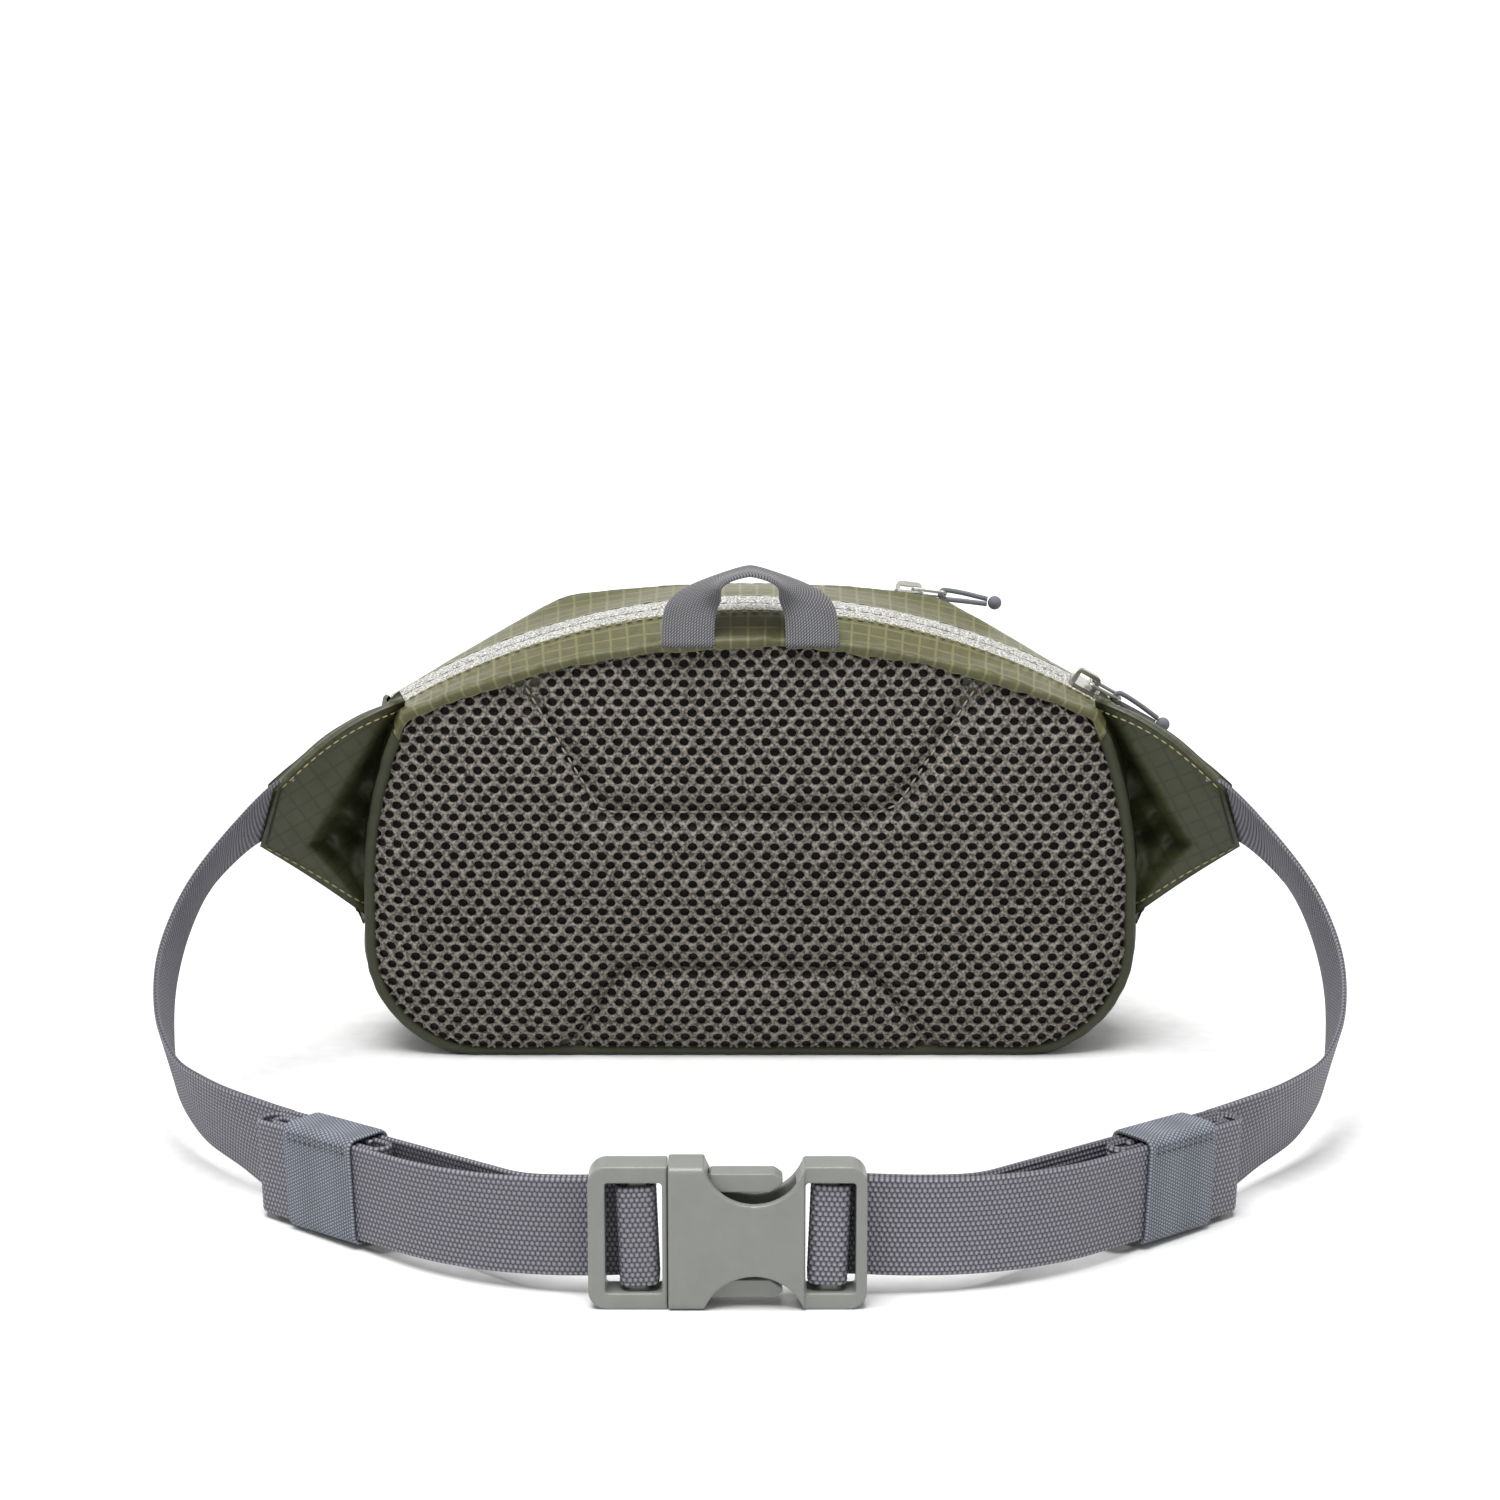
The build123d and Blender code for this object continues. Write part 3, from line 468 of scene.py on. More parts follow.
# ---------------------------------------------------------------- materials
def linear(colour):
    """Screen colour from 0 to 255 as linear light, opaque."""
    parts = np.array(colour, float) / 255
    return (*np.where(parts <= 0.04045, parts / 12.92, ((parts + 0.055) / 1.055) ** 2.4), 1)


class Look:
    """One material on a Principled shader, with short ways to add nodes to it."""

    def __init__(self, name, roughness):
        self.material = bpy.data.materials.new(name)
        self.material.use_nodes = True
        self.tree = self.material.node_tree
        self.shader = self.tree.nodes["Principled BSDF"]
        self.feed(self.shader, "Roughness", roughness)

    def feed(self, node, key, value):
        """A value, or the output of another node, into one input."""
        if isinstance(value, bpy.types.NodeSocket):
            self.tree.links.new(value, node.inputs[key])
        else:
            node.inputs[key].default_value = value

    def node(self, kind, inputs, **settings):
        """New node's outputs. Inputs go by name or number."""
        made = self.tree.nodes.new(kind)
        for key, value in settings.items():
            setattr(made, key, value)
        for key, value in inputs.items():
            self.feed(made, key, value)
        return made.outputs

    def math(self, operation, a, b=0.0):
        return self.node("ShaderNodeMath", {0: a, 1: b}, operation=operation)[0]

    def mix(self, share, a, b):
        return self.node("ShaderNodeMix", {0: share, 6: a, 7: b}, data_type="RGBA")[2]

    def cloud(self, where, scale, detail):
        return self.node("ShaderNodeTexNoise", {"Vector": where, "Scale": scale, "Detail": detail})["Fac"]

    def cloth(self):
        """Cloth coordinates in centimetres: both together, along, and across."""
        where = self.node("ShaderNodeUVMap", {})[0]
        parts = self.node("ShaderNodeSeparateXYZ", {0: where})
        return where, parts[0], parts[1]

    def place(self):
        return self.node("ShaderNodeTexCoord", {})["Object"]

    def lines(self, along, pitch, width):
        """1 on lines pitch apart, 0 between them."""
        return self.math("LESS_THAN", self.math("PINGPONG", along, pitch / 20), width / 20)

    def bump(self, height, strength, distance):
        inputs = {"Strength": strength, "Distance": distance, "Height": height}
        self.feed(self.shader, "Normal", self.node("ShaderNodeBump", inputs)[0])

    def done(self, colour):
        self.feed(self.shader, "Base Color", colour)
        return self.material


def ripstop(name, colour, line, shade):
    """Ripstop: thicker threads in a 5 mm grid over a fine plain weave, with cloudy wear."""
    look = Look(name, 0.48)
    where, along, across = look.cloth()
    lines = look.math("MAXIMUM", look.lines(along, 5.0, 0.75), look.lines(across, 5.0, 0.75))
    base = look.mix(look.cloud(where, 2.4, 4.0), linear(shade), linear(colour))
    base = look.mix(look.math("MULTIPLY", lines, 0.5), base, linear(line))
    fine = look.math("MULTIPLY", look.cloud(where, 42.0, 2.0), 0.8)
    look.bump(look.math("ADD", look.math("MULTIPLY", lines, 0.7), fine), 0.5, 0.0003)
    return look.done(base)


def webbing(name, light, dark, pitch=1.3, rows=1.25, strength=0.8, slant=0.0):
    """Woven tape: ribs along its length, each a row of raised picks, with painted shade in the gaps between them.
    """
    look = Look(name, 0.6)
    where, along, across = look.cloth()
    row = look.math("FLOOR", look.math("DIVIDE", across, rows / 10))
    shift = look.math("MULTIPLY", row, pitch / 20 if slant == 0 else 0.0)
    run = look.math("ADD", look.math("ADD", along, shift), look.math("MULTIPLY", across, slant))
    pick = look.math("DIVIDE", look.math("PINGPONG", run, pitch / 20), pitch / 20)
    rib = look.math("DIVIDE", look.math("PINGPONG", across, rows / 20), rows / 20)
    raised = look.math("MULTIPLY", look.math("POWER", pick, 0.7), look.math("POWER", rib, 0.5))
    # painted shade: colour goes from the dark colour in the gaps between picks to the light one on their tops,
    # times a random yarn tone
    tone = look.math("MULTIPLY", raised, look.math("ADD", look.cloud(where, 70.0, 3.0), 0.5))
    look.bump(raised, strength, 0.0005)
    return look.done(look.mix(tone, linear(dark), linear(light)))


def knit(name, light, dark, scale=38.0):
    """Speckled yarn of the spacer mesh or of the zip's tape."""
    look = Look(name, 0.6)
    where = look.place()
    cells = look.node("ShaderNodeTexVoronoi", {"Vector": where, "Scale": scale * 40})["Distance"]
    tone = look.node("ShaderNodeMapRange", {"Value": look.cloud(where, scale * 30, 3.0), 1: 0.38, 2: 0.62})[0]
    look.bump(cells, 0.7, 0.0003)
    return look.done(look.mix(tone, linear(dark), linear(light)))


def plain(name, colour, roughness=0.5, metallic=0.0, grain=0.0, grain_scale=4000.0):
    """One colour with a little variation and a fine grain."""
    look = Look(name, roughness)
    look.feed(look.shader, "Metallic", metallic)
    where, tone = look.place(), np.array(linear(colour)[:3])
    if grain:
        look.bump(look.cloud(where, grain_scale, 2.0), grain, 0.0002)
    return look.done(look.mix(look.cloud(where, 180.0, 3.0), (*(tone * 0.9), 1), (*(tone * 1.1), 1)))


OLIVE = ripstop("ripstop_olive", (96, 95, 58), (128, 122, 80), (62, 63, 35))
OLIVE_DARK = ripstop("ripstop_wing", (66, 69, 42), (38, 41, 24), (48, 51, 30))
BINDING = plain("binding_tape", (52, 55, 36), 0.7, grain=0.6)
MESH = knit("spacer_mesh", (136, 130, 121), (50, 47, 43))
BACKING = plain("mesh_backing", (22, 19, 16), 0.95, grain=0.5)
LINING = plain("lining_cloth", (70, 74, 52), 0.7, grain=0.4)
ZIP = knit("zip_tape", (212, 210, 204), (104, 104, 100), 60.0)
COIL = plain("zip_coil", (190, 188, 176), 0.5, grain=0.3)
METAL = plain("zip_metal", (178, 176, 170), 0.32, 1.0, grain=0.2)
CORD = plain("pull_cord", (104, 106, 112), 0.75, grain=0.8, grain_scale=3000.0)
# the dark colour of each tape below is painted shade in the gaps between its picks
WEBBING = webbing("belt_webbing", (168, 167, 178), (26, 25, 30))
ELASTIC = webbing("keeper_elastic", (164, 169, 182), (46, 49, 57), 0.9, 0.9, 0.8)
HANDLE = webbing("handle_webbing", (156, 156, 160), (44, 44, 48), 0.9, 0.8, 0.9, 0.9)
PLASTIC = plain("buckle_plastic", (128, 130, 126), 0.36, grain=0.35, grain_scale=2600.0)
THREAD = plain("thread_tan", (152, 145, 104), 0.7)
THREAD_PALE = plain("thread_pale", (150, 146, 136), 0.7)
THREAD_DARK = plain("thread_dark", (58, 58, 50), 0.75)


# ---------------------------------------------------------------- bag
def span(y0, y1, step=1.2):
    """Even steps of y from seam to seam."""
    return np.linspace(y0, y1, max(3, int(round((y1 - y0) / step)) + 1))


LIP = [(-2.3, 3.0), (-3.1, 2.2), (-3.3, 1.0), (-2.7, 0.1), (-1.4, -0.2)]


def top_back():
    """Back strip of the top: it rolls over the mesh's upper edge in a puckered lip."""
    ys = span(0.8, ZIP_BACK_Y, 1.0)
    grid, uv = surface(over_top(-ZIP_END, ZIP_END), ys)
    base = grid[:, 0]
    drawn_in = unit(np.column_stack([base[:, 0], base[:, 2] - ZIP_AXIS_Z]))
    rows = []
    for y, inset in LIP:
        rows.append(np.column_stack([base[:, 0] - drawn_in[:, 0] * inset, np.full(len(base), float(y)),
                                     base[:, 2] - drawn_in[:, 1] * inset]))
    grid = np.concatenate([np.stack(rows, 1), grid], 1)
    steps = np.concatenate([np.linspace(-5, -1, len(LIP)), ys])
    uv = cloth_uv(uv[:, 0, 0], steps)
    normal = grid_normals(grid)
    lip = np.exp(-np.clip(steps + 3, 0, None) / 3.0)[None, :]
    soft = (1 - np.exp(-(ys[-1] - steps).clip(0) / 5))[None, :]
    away = 0.75 * lip * ridge_noise(grid, (5.5, 30, 9), 11.0) + 0.5 * lip * ridge_noise(grid, (2.4, 30, 4), 3.0)
    away = away + 0.8 * soft * ridge_noise(grid, (20, 9, 20), 1.0)
    away = away + 0.35 * soft * ridge_noise(grid, (6, 5, 6), 8.0)
    return panel("look_top_back", grid + normal * away[..., None], WALL, OLIVE, uv, 1)


def shell():
    """All sewn panels of the bag except those that fold with the mouth."""
    pieces = [top_back()]
    pieces.append(fabric("look_gusset", below_top, span(0.8, SEAM_Y), OLIVE_DARK, 1.5, 1.6, 0.5, 2.0))
    for name, a0, a1 in (("left", -ZIP_END, -FLAP_END), ("right", FLAP_END, ZIP_END)):
        pieces.append(fabric("look_top_front_" + name, over_top(a0, a1), span(ZIP_FRONT_Y, SEAM_Y), OLIVE,
                             0.3, 0.4, 0.3, 3.0))
    tape0, tape1 = POCKET_ZIP_Y - POCKET_TAPE, POCKET_ZIP_Y + POCKET_TAPE
    around = part_of(0, RING_N)
    pieces.append(fabric("look_pocket_back", around, span(SEAM_Y, tape0, 0.6), OLIVE, 0.1, 0.2, 0.2, 4.0))
    pieces.append(fabric("look_pocket_sides", part_of(TOP_N - 1, RING_N), span(tape0, tape1), OLIVE,
                         0.1, 0.3, 0.2, 4.5))
    pieces.append(fabric("look_pocket_front", around, span(tape1, 84), OLIVE, 0.6, 1.2, 0.4, 5.0))
    pieces.append(pocket_face())
    return pieces


def pocket_face():
    """Flat front of the pocket, a little full."""
    rim = ring(84)
    centre = rim.mean(0)
    shares = np.linspace(0, 1, 14)
    grid = np.stack([np.column_stack([centre[0] + (rim[:, 0] - centre[0]) * s, np.full(len(rim), 84.0),
                                      centre[1] + (rim[:, 1] - centre[1]) * s]) for s in shares], 1)
    grid[..., 1] += 1.6 * (1 - shares[None, :] ** 2) + 0.5 * ridge_noise(grid, (24, 24, 18), 9.0)
    uv = np.stack([grid[..., 0], grid[..., 2]], -1)
    return panel("look_pocket_face", grid, WALL, OLIVE, uv, 1, closed=True)


def zip_tape(name, columns, y0, y1):
    """Reversed-coil tape: a knitted strip with a fine rounded edge along the slot."""
    ys = span(y0, y1, 0.5)
    grid, uv = surface(columns, ys)
    normal = grid_normals(grid)
    edge = np.minimum(ys - ys[0], ys[-1] - ys)
    lift = 0.25 * (1 - np.exp(-edge / 0.5)) - 0.1
    rib = 0.07 * np.cos(uv[..., 0] * 2 * math.pi / 1.3)
    return panel(name, grid + normal * (lift[None, :, None] + rib[..., None]), 0.9, ZIP, uv, 1)


def zips():
    """The tapes of both zips that stay with the bag."""
    pieces = [zip_tape("look_zip_back", over_top(-ZIP_END, ZIP_END), ZIP_BACK_Y, ZIP_Y - SLOT)]
    for name, a0, a1 in (("left", -ZIP_END, -FLAP_END), ("right", FLAP_END, ZIP_END)):
        pieces.append(zip_tape("look_zip_front_" + name, over_top(a0, a1), ZIP_Y + SLOT, ZIP_FRONT_Y))
    pocket = part_of(0, TOP_N - 1)
    pieces.append(zip_tape("look_pocket_zip_upper", pocket, POCKET_ZIP_Y - POCKET_TAPE, POCKET_ZIP_Y - SLOT))
    pieces.append(zip_tape("look_pocket_zip_lower", pocket, POCKET_ZIP_Y + SLOT, POCKET_ZIP_Y + POCKET_TAPE))
    return pieces


def flap():
    """The stretch of top and tape that bends open in front of the main zip."""
    middle = over_top(-FLAP_END, FLAP_END)
    tape = zip_tape("look_flap_tape", middle, ZIP_Y + SLOT, ZIP_FRONT_Y)
    cloth = fabric("look_flap_cloth", middle, span(ZIP_FRONT_Y, SEAM_Y), OLIVE, 0.3, 0.4, 0.3, 3.0)
    return tape, cloth


# ---------------------------------------------------------------- back pad
QUILT_LINES = [
    [(-70, 119), (-44, 76), (-40, 75), (38, 75), (43, 77), (67, 113)],
    [(-54, 3), (-38, 27), (-34, 28), (32, 28), (36, 27), (54, 3)],
]


def distance_to(points, line):
    """Distance from points (n, 2) to a polyline."""
    best = np.full(len(points), 1e9)
    for a, b in zip(np.array(line[:-1], float), np.array(line[1:], float)):
        way = b - a
        t = np.clip(((points - a) @ way) / (way @ way), 0, 1)
        best = np.minimum(best, np.linalg.norm(points - a - t[:, None] * way, axis=1))
    return best


PAD_RIM = ring(0.8, PAD_EDGE - 0.6)[::3]


def pad_depth(points):
    """How far the quilted pad stands out at points (x, z)."""
    edge = distance_to(points, [tuple(p) for p in np.vstack([PAD_RIM, PAD_RIM[:1]])])
    upper_part = np.clip((points[:, 1] - 62) / 45, 0, 1)
    depth = 1.2 + (PAD_CROWN - 2.4) * (1 - np.exp(-edge / (7.0 + 15.0 * upper_part)))
    upper, lower = (distance_to(points, line) for line in QUILT_LINES)
    depth = depth - 2.9 * np.exp(-(upper / 3.6) ** 2) - 2.2 * np.exp(-(lower / 3.4) ** 2)
    inside = np.exp(-(points[:, 0] / 46) ** 4)
    depth = depth + 0.9 * np.exp(-((points[:, 1] - 58) / 14) ** 2) * inside
    soft = [noise.noise(Vector((p[0] / 30, p[1] / 22, 4.2))) for p in points]
    return np.maximum(depth + 0.7 * np.array(soft), 0.9)


def inside_rim(points, rim):
    """Which points lie inside a closed outline."""
    x, z = points[:, 0], points[:, 1]
    count = np.zeros(len(points), int)
    for a, b in zip(rim, np.roll(rim, -1, axis=0)):
        crosses = (a[1] > z) != (b[1] > z)
        where = a[0] + (z - a[1]) * (b[0] - a[0]) / (b[1] - a[1] + 1e-12)
        count += crosses & (x < where)
    return count % 2 == 1


def held_inside(points, rim):
    """Points (x, z), with those outside a closed outline moved to the nearest place on it."""
    points = points.copy()
    out = np.flatnonzero(~inside_rim(points, rim))
    ends = np.roll(rim, -1, axis=0)
    way = ends - rim
    for number in out:
        t = np.clip(((points[number] - rim) * way).sum(1) / (way**2).sum(1).clip(1e-9), 0, 1)
        near = rim + way * t[:, None]
        points[number] = near[np.argmin(np.hypot(*(near - points[number]).T))]
    return points


def net():
    """Spacer mesh as real holes: a cell round each hole, in staggered rows."""
    centres = np.array([(column * HOLE_PITCH + (HOLE_PITCH / 2 if row % 2 else 0), row * HOLE_ROW + 0.6)
                        for row in range(-2, 48) for column in range(-26, 27)], float)
    centres = centres[inside_rim(centres, ring(0.8, NET_EDGE + 0.6))]
    wander = np.array([[noise.noise(Vector((x / 5, z / 5, seed))) for seed in (1.0, 9.0)] for x, z in centres])

    # the cell round a hole is a hexagon; corners and edge middles are shared with its neighbours
    a, b = HOLE_PITCH / 2, HOLE_ROW
    side_z = (b**2 - a**2) / (2 * b)
    top_z = (a**2 + b**2) / (2 * b)
    hexagon = [(a, side_z), (0, top_z), (-a, side_z), (-a, -side_z), (0, -top_z), (a, -side_z)]
    outer = []
    for p, q in zip(hexagon, hexagon[1:] + hexagon[:1]):
        outer += [p, ((p[0] + q[0]) / 2, (p[1] + q[1]) / 2)]
    outer = np.array(outer)
    angle = np.arctan2(outer[:, 1], outer[:, 0])
    hole = np.column_stack([np.cos(angle) * HOLE_R * 1.08, np.sin(angle) * HOLE_R * 0.98])
    rings = [(outer, 0.0), (outer * 0.45 + hole * 0.55, -0.05), (hole, -0.45), (hole * 0.94, -NET_THICK)]

    def warped(points):
        soft = np.array([[noise.noise(Vector((x / 3.1, z / 3.1, seed))) for seed in (2.0, 6.0)]
                         for x, z in points])
        return points + 0.16 * soft

    flat, drop = [], []
    for number, (around, sink) in enumerate(rings):
        points = centres[:, None, :] + around[None, :, :]
        if number >= 2:
            points = points + wander[:, None, :] * 0.12
        flat.append(points)
        drop.append(np.full(points.shape[:2], sink))
    flat = np.stack(flat, 1)
    drop = np.stack(drop, 1)
    shape = flat.shape[:3]
    flat = held_inside(warped(flat.reshape(-1, 2)), ring(0.8, NET_EDGE))
    depth = pad_depth(flat)
    points = np.column_stack([flat[:, 0], -(depth + drop.ravel()), flat[:, 1]])
    index = np.arange(len(points)).reshape(shape)
    faces = []
    for r in range(len(rings) - 1):
        now, ahead = index[:, r], index[:, r + 1]
        faces.append(np.stack([now, ahead, np.roll(ahead, -1, 1), np.roll(now, -1, 1)], -1).reshape(-1, 4))
    return add_mesh("look_mesh_net", points, np.concatenate(faces)[:, ::-1], MESH)


def backing():
    """Dark foam under the net, on the same quilted surface."""
    rim = ring(0.8, PAD_EDGE - 0.9)
    centre = np.array([0.0, 60.0])
    shares = 1 - (1 - np.linspace(0, 1, 40)) ** 1.4
    flat = centre + (rim[:, None, :] - centre) * shares[None, :, None]
    depth = pad_depth(flat.reshape(-1, 2)).reshape(flat.shape[:2]) - NET_THICK
    depth[:, -1] = 0.4
    grid = np.stack([flat[..., 0], -depth, flat[..., 1]], -1)
    return panel("look_pad_foam", grid, 1.0, BACKING, flat, 1, closed=True)


def binding():
    """Tape bound round the pad's sides and bottom, slightly puckered; the top strip covers the rest."""
    rim = below_top(0.8)
    way = unit(np.gradient(rim, axis=0))
    out = np.column_stack([-way[:, 1], way[:, 0]])
    place = np.column_stack([rim[:, 0], np.zeros(len(rim)), rim[:, 1]])
    wave = ridge_noise(place, (4.0, 4.0, 4.0), 2.0)
    profile = [(0.0, 1.4), (0.25, 0.2), (0.15, -1.0), (-0.5, -1.7), (-1.5, -1.9), (-2.2, -1.3), (-2.4, 0.2)]
    grid = []
    for shift, y in profile:
        flat = rim + out * (shift + 0.22 * wave)[:, None]
        grid.append(np.column_stack([flat[:, 0], y * (1 + 0.16 * wave), flat[:, 1].clip(0.6)]))
    grid = np.stack(grid, 1)
    uv = cloth_uv(arc_length(rim), np.arange(len(profile)) * 1.1)
    return panel("look_binding", grid, 0.5, BINDING, uv, 1)


# ---------------------------------------------------------------- stitches
def stitches(name, points, ways, normals, material, length=2.2, radius=0.24, proud=0.1):
    """Row of thread stitches: short rounded rods lying on a surface."""
    sides, rows = 6, 5
    t = np.linspace(-1, 1, rows)
    girth = np.sqrt(np.clip(1 - np.abs(t) ** 3, 0, 1))
    turns = np.linspace(0, 2 * math.pi, sides, endpoint=False)
    all_points, all_faces = [], []
    for number, (p, way, normal) in enumerate(zip(points, ways, normals)):
        side = np.cross(way, normal)
        rod = [p + way * (u * length / 2) + normal * (proud - 0.25 * radius * u * u)
               + (side * math.cos(a) + normal * math.sin(a)) * radius * g
               for u, g in zip(t, girth) for a in turns]
        base = number * sides * rows
        all_points += rod
        for r in range(rows - 1):
            for s in range(sides):
                n = (s + 1) % sides
                all_faces.append([base + r * sides + s, base + r * sides + n,
                                  base + (r + 1) * sides + n, base + (r + 1) * sides + s])
    return add_mesh(name, np.array(all_points), all_faces, material)


def stitch_line(name, line, normals, material, pitch=3.0, **more):
    """Stitches at even steps along a dense line of points."""
    line, normals = np.asarray(line, float), np.asarray(normals, float)
    run = arc_length(line)
    marks = np.arange(pitch / 2, run[-1], pitch)
    ways = unit(at_marks(marks + 0.2, run, line) - at_marks(marks - 0.2, run, line))
    up = unit(at_marks(marks, run, normals))
    return stitches(name, at_marks(marks, run, line), ways, up, material, **more)


def bag_line(columns, y, lift=0.35):
    """Line on the bag's surface at one y, with its normals."""
    grid, _ = surface(columns, [y - 0.5, y, y + 0.5])
    normal = grid_normals(grid)[:, 1]
    return grid[:, 1] + normal * lift, normal


# ---------------------------------------------------------------- wings
def wing_grid(side):
    """Outer face of one wing: a flat triangle towards the belt and a deep crumpled fold beside the bag."""
    middles, wides, thins = side_frames()
    tip, tip_wide, tip_thin = middles[-6], wides[-6], thins[-6]
    tip_thin = tip_thin if tip_thin[1] < 0 else -tip_thin
    root_top, root_low = np.array(WING_ROOT_TOP), np.array(WING_ROOT_LOW)
    tip_mid = tip + tip_thin * 1.9
    tip_top, tip_low = tip_mid + tip_wide * WING_TIP_UP, tip_mid - tip_wide * WING_TIP_DOWN
    u = np.linspace(0, 1, 90)[:, None]
    v = np.linspace(0, 1, 76)[None, :]
    top = root_top + (tip_top - root_top) * u[..., None]
    low = root_low + (tip_low - root_low) * u[..., None]
    top = top + np.sin(math.pi * u)[..., None] * np.array([0, -1.0, 3.8])
    low = low + np.sin(math.pi * u)[..., None] * np.array([0, -1.0, 1.0])
    grid = low + (top - low) * v[..., None]
    edge = 0.66 * (1 - v) ** 0.75 * np.clip((v - 0.02) / 0.2, 0, 1)
    recess = 1 / (1 + np.exp(-(edge - u) / 0.025))
    held = np.clip(np.sin(math.pi * v), 0, 1) ** 0.5
    fan = np.sin(16 * (v - 0.45) + 5 * u) + 0.6 * np.sin(31 * (v - 0.3) - 9 * u)
    crumple = ridge_noise(grid, (5, 5, 7), 3.0)
    out = -FOLD_DEPTH * recess * held + 2.0 * recess * fan * held + 3.4 * recess * crumple * held
    out = out + (1 - recess) * (1.0 * np.sin(math.pi * v) * np.sin(math.pi * np.clip(u, 0, 1))
                                + 0.8 * ridge_noise(grid, (11, 11, 8), 5.0) * held * (1 - u**3))
    grid[..., 1] -= out * np.clip((1 - u) * 8, 0, 1)
    return mirror_if(side, grid)


def wing(side, label):
    """One wing as a two-layer panel, with its hem stitches and bartack."""
    grid = wing_grid(side)
    count_u, count_v = grid.shape[:2]
    uv = np.stack([grid[..., 0] * 0.9 + grid[..., 2] * 0.5, grid[..., 2] * 0.9 - grid[..., 0] * 0.5], -1)
    outward = 1 if side > 0 else -1
    pieces = [panel("look_wing_" + label, grid, WING_THICK, OLIVE_DARK, uv, outward)]
    normal = grid_normals(grid) * outward
    for name, row in (("top", count_v - 4), ("low", 3)):
        pieces.append(stitch_line(f"look_wing_{label}_hem_{name}", grid[2:-2, row] + normal[2:-2, row] * 0.1,
                                  normal[2:-2, row], THREAD, 2.8))
    tack_u = count_u - 5
    zigzag = grid[tack_u - 1:tack_u + 1, 6:-6].mean(0)
    pieces.append(stitch_line(f"look_wing_{label}_tack", zigzag + normal[tack_u, 6:-6] * 0.15,
                              normal[tack_u, 6:-6], THREAD_DARK, 1.1, length=1.6, radius=0.34))
    return pieces


# ---------------------------------------------------------------- keepers, handle, buckle
def keeper(side, label):
    """Elastic band round the belt and its rolled tail, with two rows of stitches."""
    room_in, room_out = INNER_PLY + 1.5, OUTER_PLY - 1.5
    half_a, half_b, round_r = (room_in - room_out) / 2 + 0.1, WEB / 2 + 0.9, 2.2
    corners = [(1, 1, 0), (-1, 1, 90), (-1, -1, 180), (1, -1, 270)]
    loop = []
    for sa, sb, start in corners:
        for a in np.linspace(start, start + 90, 9):
            loop.append((sa * (half_a - round_r) + round_r * math.cos(math.radians(a)),
                         sb * (half_b - round_r) + round_r * math.sin(math.radians(a))))
    loop = np.array(loop + loop[:1])
    run = arc_length(loop)
    marks = np.linspace(0, run[-1], 90, endpoint=False)
    loop = at_marks(marks, run, loop)
    ahead = unit(np.roll(loop, -1, 0) - np.roll(loop, 1, 0))
    out = np.column_stack([ahead[:, 1], -ahead[:, 0]])
    middle = stack_point(0, (room_in + room_out) / 2)
    inward = np.array([*INWARD, 0])
    middles = np.array([[*middle, MIDDLE_Z]]) + loop[:, :1] * inward + loop[:, 1:] * np.array([0, 0, 1.0])
    thins = out[:, :1] * inward + out[:, 1:] * np.array([0, 0, 1.0])
    wides = np.tile([*ALONG, 0], (len(loop), 1))
    placed = [mirror_if(side, a) for a in (tilt(middles), tilt_way(wides), tilt_way(thins))]
    pieces = [ribbon("look_keeper_" + label, *placed, ELASTIC, 25.0, 1.1, 26, 0.07, True)]
    for number, drop in enumerate((1.6, 3.2)):
        line = np.array([[*(middle + ALONG * a - INWARD * (half_a + 0.62)), MIDDLE_Z + half_b - drop]
                         for a in np.linspace(-11, 11, 30)])
        normal = np.tile([*(-INWARD), 0], (len(line), 1))
        pieces.append(stitch_line(f"look_keeper_{label}_stitch_{number}", mirror_if(side, tilt(line)),
                                  mirror_if(side, tilt_way(normal)), THREAD_DARK, 2.0, length=1.4, radius=0.16))
    return pieces


def handle_middle(step):
    """Middle line of the handle: steep legs from -1 and 1, sewn down over the seam, and a low crown at 0."""
    height = 1 - abs(step)
    side = -1 if step < 0 else 1
    bow = height**0.88
    return np.array([side * HANDLE_SPAN * (1 - height**2.6) ** 0.75,
                     HANDLE_HINGE[0] + HANDLE_LEAN * bow - LEG_FORWARD * abs(step) ** 5,
                     HANDLE_HINGE[1] + HANDLE_RISE * bow - LEG_DOWN * abs(step) ** 9])


def handle():
    """Twill loop: its ends stand on the back seam, and it turns a quarter to lie flat at its crown."""
    middles, wides, thins = [], [], []
    for share in np.linspace(-1, 1, 121):
        step = math.copysign(abs(share) ** 1.6, share)
        turn = min(1.0, max(0.0, (0.7 - abs(step)) / 0.65))
        spin = math.radians(90) * turn**2 * (3 - 2 * turn)
        side = -1 if step < 0 else 1
        wide = np.array([side * math.cos(spin), math.sin(spin), 0])
        ahead = handle_middle(min(1, step + 0.01)) - handle_middle(max(-1, step - 0.01))
        ahead -= wide * (ahead @ wide)
        middles.append(handle_middle(step))
        wides.append(wide)
        thins.append(np.cross(wide, ahead / np.linalg.norm(ahead)))
    return ribbon("look_handle", middles, wides, thins, HANDLE, HANDLE_W, HANDLE_THICK, 18, 0.05)


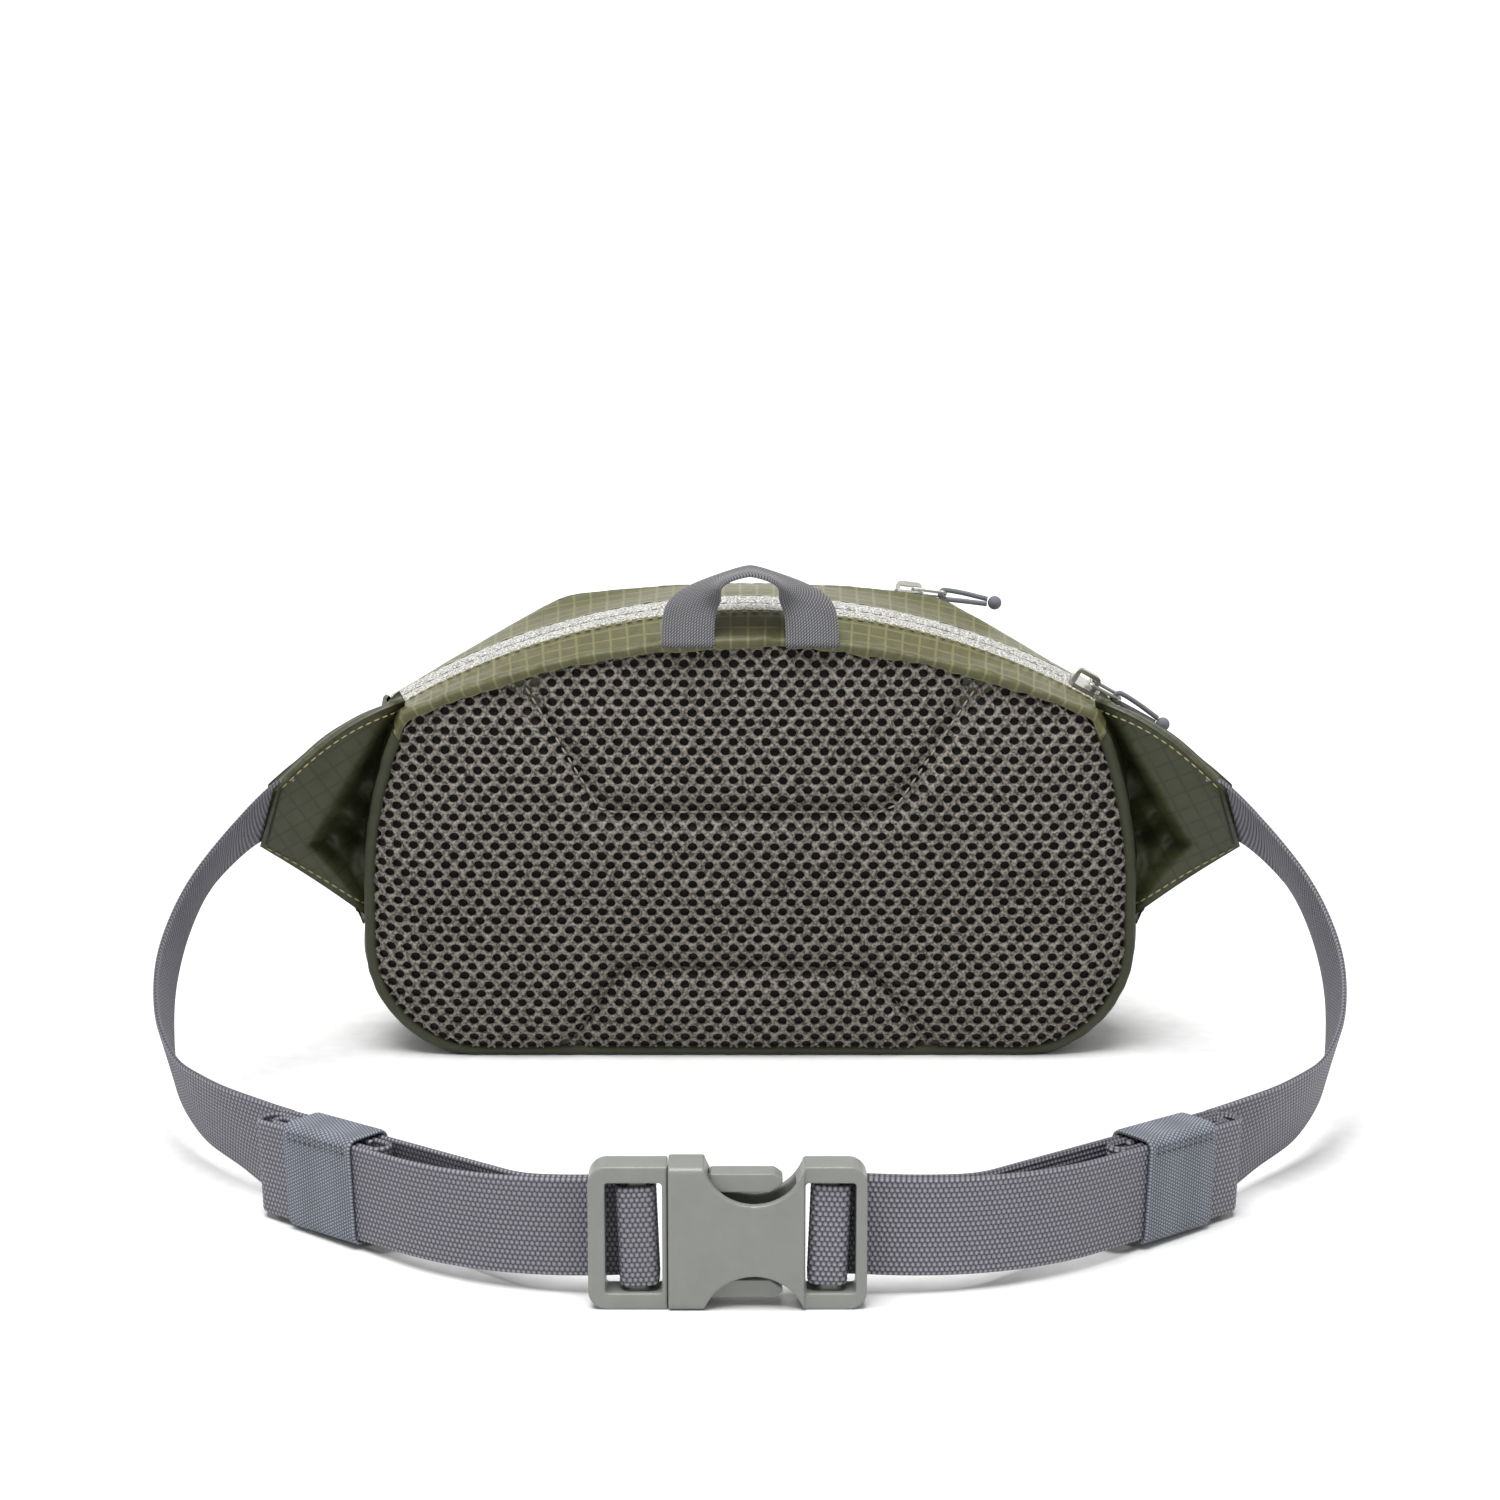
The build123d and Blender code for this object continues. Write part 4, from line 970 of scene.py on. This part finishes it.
def softened(node, label, material, voxel=0.00032):
    """Copy of a CAD node with its edges rounded as a mould leaves them."""
    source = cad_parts[node]
    copy = bpy.data.objects.new(label, source.data.copy())
    copy.matrix_world = source.matrix_world.copy()
    bpy.context.scene.collection.objects.link(copy)
    remesh = copy.modifiers.new("remesh", "REMESH")
    remesh.mode, remesh.voxel_size = "VOXEL", voxel
    smooth = copy.modifiers.new("smooth", "SMOOTH")
    smooth.factor, smooth.iterations = 0.5, 4
    depsgraph = bpy.context.evaluated_depsgraph_get()
    mesh = bpy.data.meshes.new_from_object(copy.evaluated_get(depsgraph))
    copy.modifiers.clear()
    copy.data = mesh
    mesh.transform(copy.matrix_world)
    copy.matrix_world = Matrix.Identity(4)
    mesh.materials.clear()
    mesh.materials.append(material)
    mesh.shade_smooth()
    return copy


# ---------------------------------------------------------------- build
def seams():
    """Stitches behind the main zip and along the pad's quilted channels."""
    line, normals = bag_line(over_top(-ZIP_END, ZIP_END), ZIP_BACK_Y - 1.3)
    rows = [stitch_line("look_stitch_zip_back", line, normals, THREAD, 3.1, radius=0.3)]
    for number, corners in enumerate(QUILT_LINES):
        flat = np.array([np.array(a) + (np.array(b) - np.array(a)) * t
                         for a, b in zip(corners[:-1], corners[1:]) for t in np.linspace(0, 1, 24)[:-1]])
        flat = flat[inside_rim(flat, ring(0.8, PAD_EDGE + 2))]
        points = np.column_stack([flat[:, 0], -pad_depth(flat) - 0.15, flat[:, 1]])
        rows.append(stitch_line(f"look_quilt_{number}", points, np.tile([0, -1.0, 0], (len(points), 1)),
                                (THREAD_PALE, THREAD_DARK)[number], 3.4, length=2.6, radius=0.3))
    return rows


def show(pieces, body, slot=None, *nodes):
    """Pieces that ride on one body; the CAD nodes they stand in for are hidden. slot is not used."""
    for piece in pieces:
        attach(piece, body)
    if nodes:
        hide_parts(*nodes)


def build():
    """Every piece, on the body it moves with, in place of the CAD nodes it shows."""
    show(shell(), "bag", "ripstop")
    show(zips(), "bag", "zip_tape")
    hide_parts("gusset_bottom", "gusset_left", "gusset_right", "pocket_face",
                "pocket_top", "pocket_bottom", "pocket_side_left", "pocket_side_right", "top_strip_back",
                "top_strip_front_ends")
    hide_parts("main_zip_tape_back", "main_zip_tape_front_ends",
                "pocket_zip_tape_upper", "pocket_zip_tape_lower")

    for piece, node, slot in zip(flap(), ("flap_zip_tape", "flap_fabric"), ("zip_tape", "ripstop")):
        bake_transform(piece)
        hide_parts(node)

    foam = backing()
    show([foam], "bag", "foam", "back_foam")
    show([net()], "bag", "spacer_mesh", "back_mesh")
    show([binding()], "bag", "binding", "back_binding")
    show(seams(), "bag", "thread")

    for side, label in ((-1, "left"), (1, "right")):
        sheet, *threads = wing(side, label)
        show([sheet], "bag", "wing_fabric", f"wing_{label}_inner", f"wing_{label}_outer")
        show(threads, "bag")
        band, *threads = keeper(side, label)
        show([band], "keeper_" + label, "elastic", "keeper_" + label)
        show(threads, "keeper_" + label)

    middles, wides, thins = side_frames()
    for side, label, bar_x, body in ((-1, "left", PLUG_BAR_X, "plug"), (1, "right", -HOUSING_BAR_X, "bag")):
        front = belt_front("look_belt_front_" + label, side, bar_x, WEBBING)
        show([front], body, "webbing", f"belt_{label}_front")
        strap = ribbon("look_belt_side_" + label, *[mirror_if(side, a) for a in (middles, wides, thins)], WEBBING)
        if label == "left":
            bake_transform(strap)
        else:
            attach(strap, "bag")
        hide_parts(f"belt_{label}_side")

    loop = handle()
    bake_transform(loop)
    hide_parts("handle_webbing")
    for node, body in (("buckle_housing", "bag"), ("buckle_plug", "plug"), ("buckle_prong_upper", "prong_upper"),
                       ("buckle_prong_lower", "prong_lower")):
        show([softened(node, "look_" + node, PLASTIC)], body, "buckle_plastic", node)

    for material, shown in (
            (METAL, ("main_zip_slider", "pocket_zip_slider", "main_pull", "pocket_pull", "main_zip_stops")),
            (CORD, ("main_pull_cord", "pocket_pull_cord", "main_pull_knot", "pocket_pull_knot")),
            (LINING, ("back_lining", "pocket_divider")),
            (COIL, ("main_zip_coil_back", "main_zip_coil_front_ends", "flap_zip_coil", "pocket_zip_coil")),
            (THREAD_DARK, ("handle_bartacks",))):
        for node in shown:
            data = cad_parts[node].data
            data.materials.clear()
            data.materials.append(material)


# ---------------------------------------------------------------- stage
def plane(name, corners, material):
    """Flat piece of the stage, from corners in metres."""
    mesh = bpy.data.meshes.new(name)
    mesh.from_pydata(corners, [], [(0, 1, 2, 3)])
    mesh.materials.append(material)
    thing = bpy.data.objects.new(name, mesh)
    bpy.context.scene.collection.objects.link(thing)


def stage():
    """White sweep, a broad light from above and behind the camera, and the camera."""
    reach, high = 9.0, 5.0
    white = Look("backdrop_white", 0.9)
    white.feed(white.shader, "Emission Color", (1, 1, 1, 1))
    white.feed(white.shader, "Emission Strength", 1.0)
    plane("floor", [(-reach, -reach, 0), (reach, -reach, 0), (reach, reach, 0), (-reach, reach, 0)],
          plain("floor_white", (225, 225, 225), 0.95))
    plane("backdrop", [(-reach, reach, 0), (reach, reach, 0), (reach, reach, high), (-reach, reach, high)],
          white.done(linear((250, 250, 250))))
    world = bpy.data.worlds.new("studio")
    world.use_nodes = True
    sky = world.node_tree.nodes["Background"].inputs
    sky[0].default_value, sky[1].default_value = (1, 1, 1, 1), 0.5
    bpy.context.scene.world = world
    bpy.context.scene.view_settings.view_transform = "Standard"
    sun = bpy.data.lights.new("sun", "SUN")
    sun.energy, sun.angle = 4.0, math.radians(40)
    lamp = bpy.data.objects.new("sun", sun)
    lamp.rotation_euler = Vector((0.1, 0.22, -1)).to_track_quat("-Z", "Y").to_euler()
    bpy.context.scene.collection.objects.link(lamp)
    camera = bpy.data.cameras.new("camera")
    camera.sensor_width, camera.lens = 36, LENS
    view = bpy.data.objects.new("camera", camera)
    view.location = (0, PANEL_Y * MM - CAMERA_BACK, CAMERA_HIGH)
    view.rotation_euler = (math.pi / 2 - CAMERA_DOWN, 0, 0)
    bpy.context.scene.collection.objects.link(view)
    bpy.context.scene.camera = view


build()
stage()
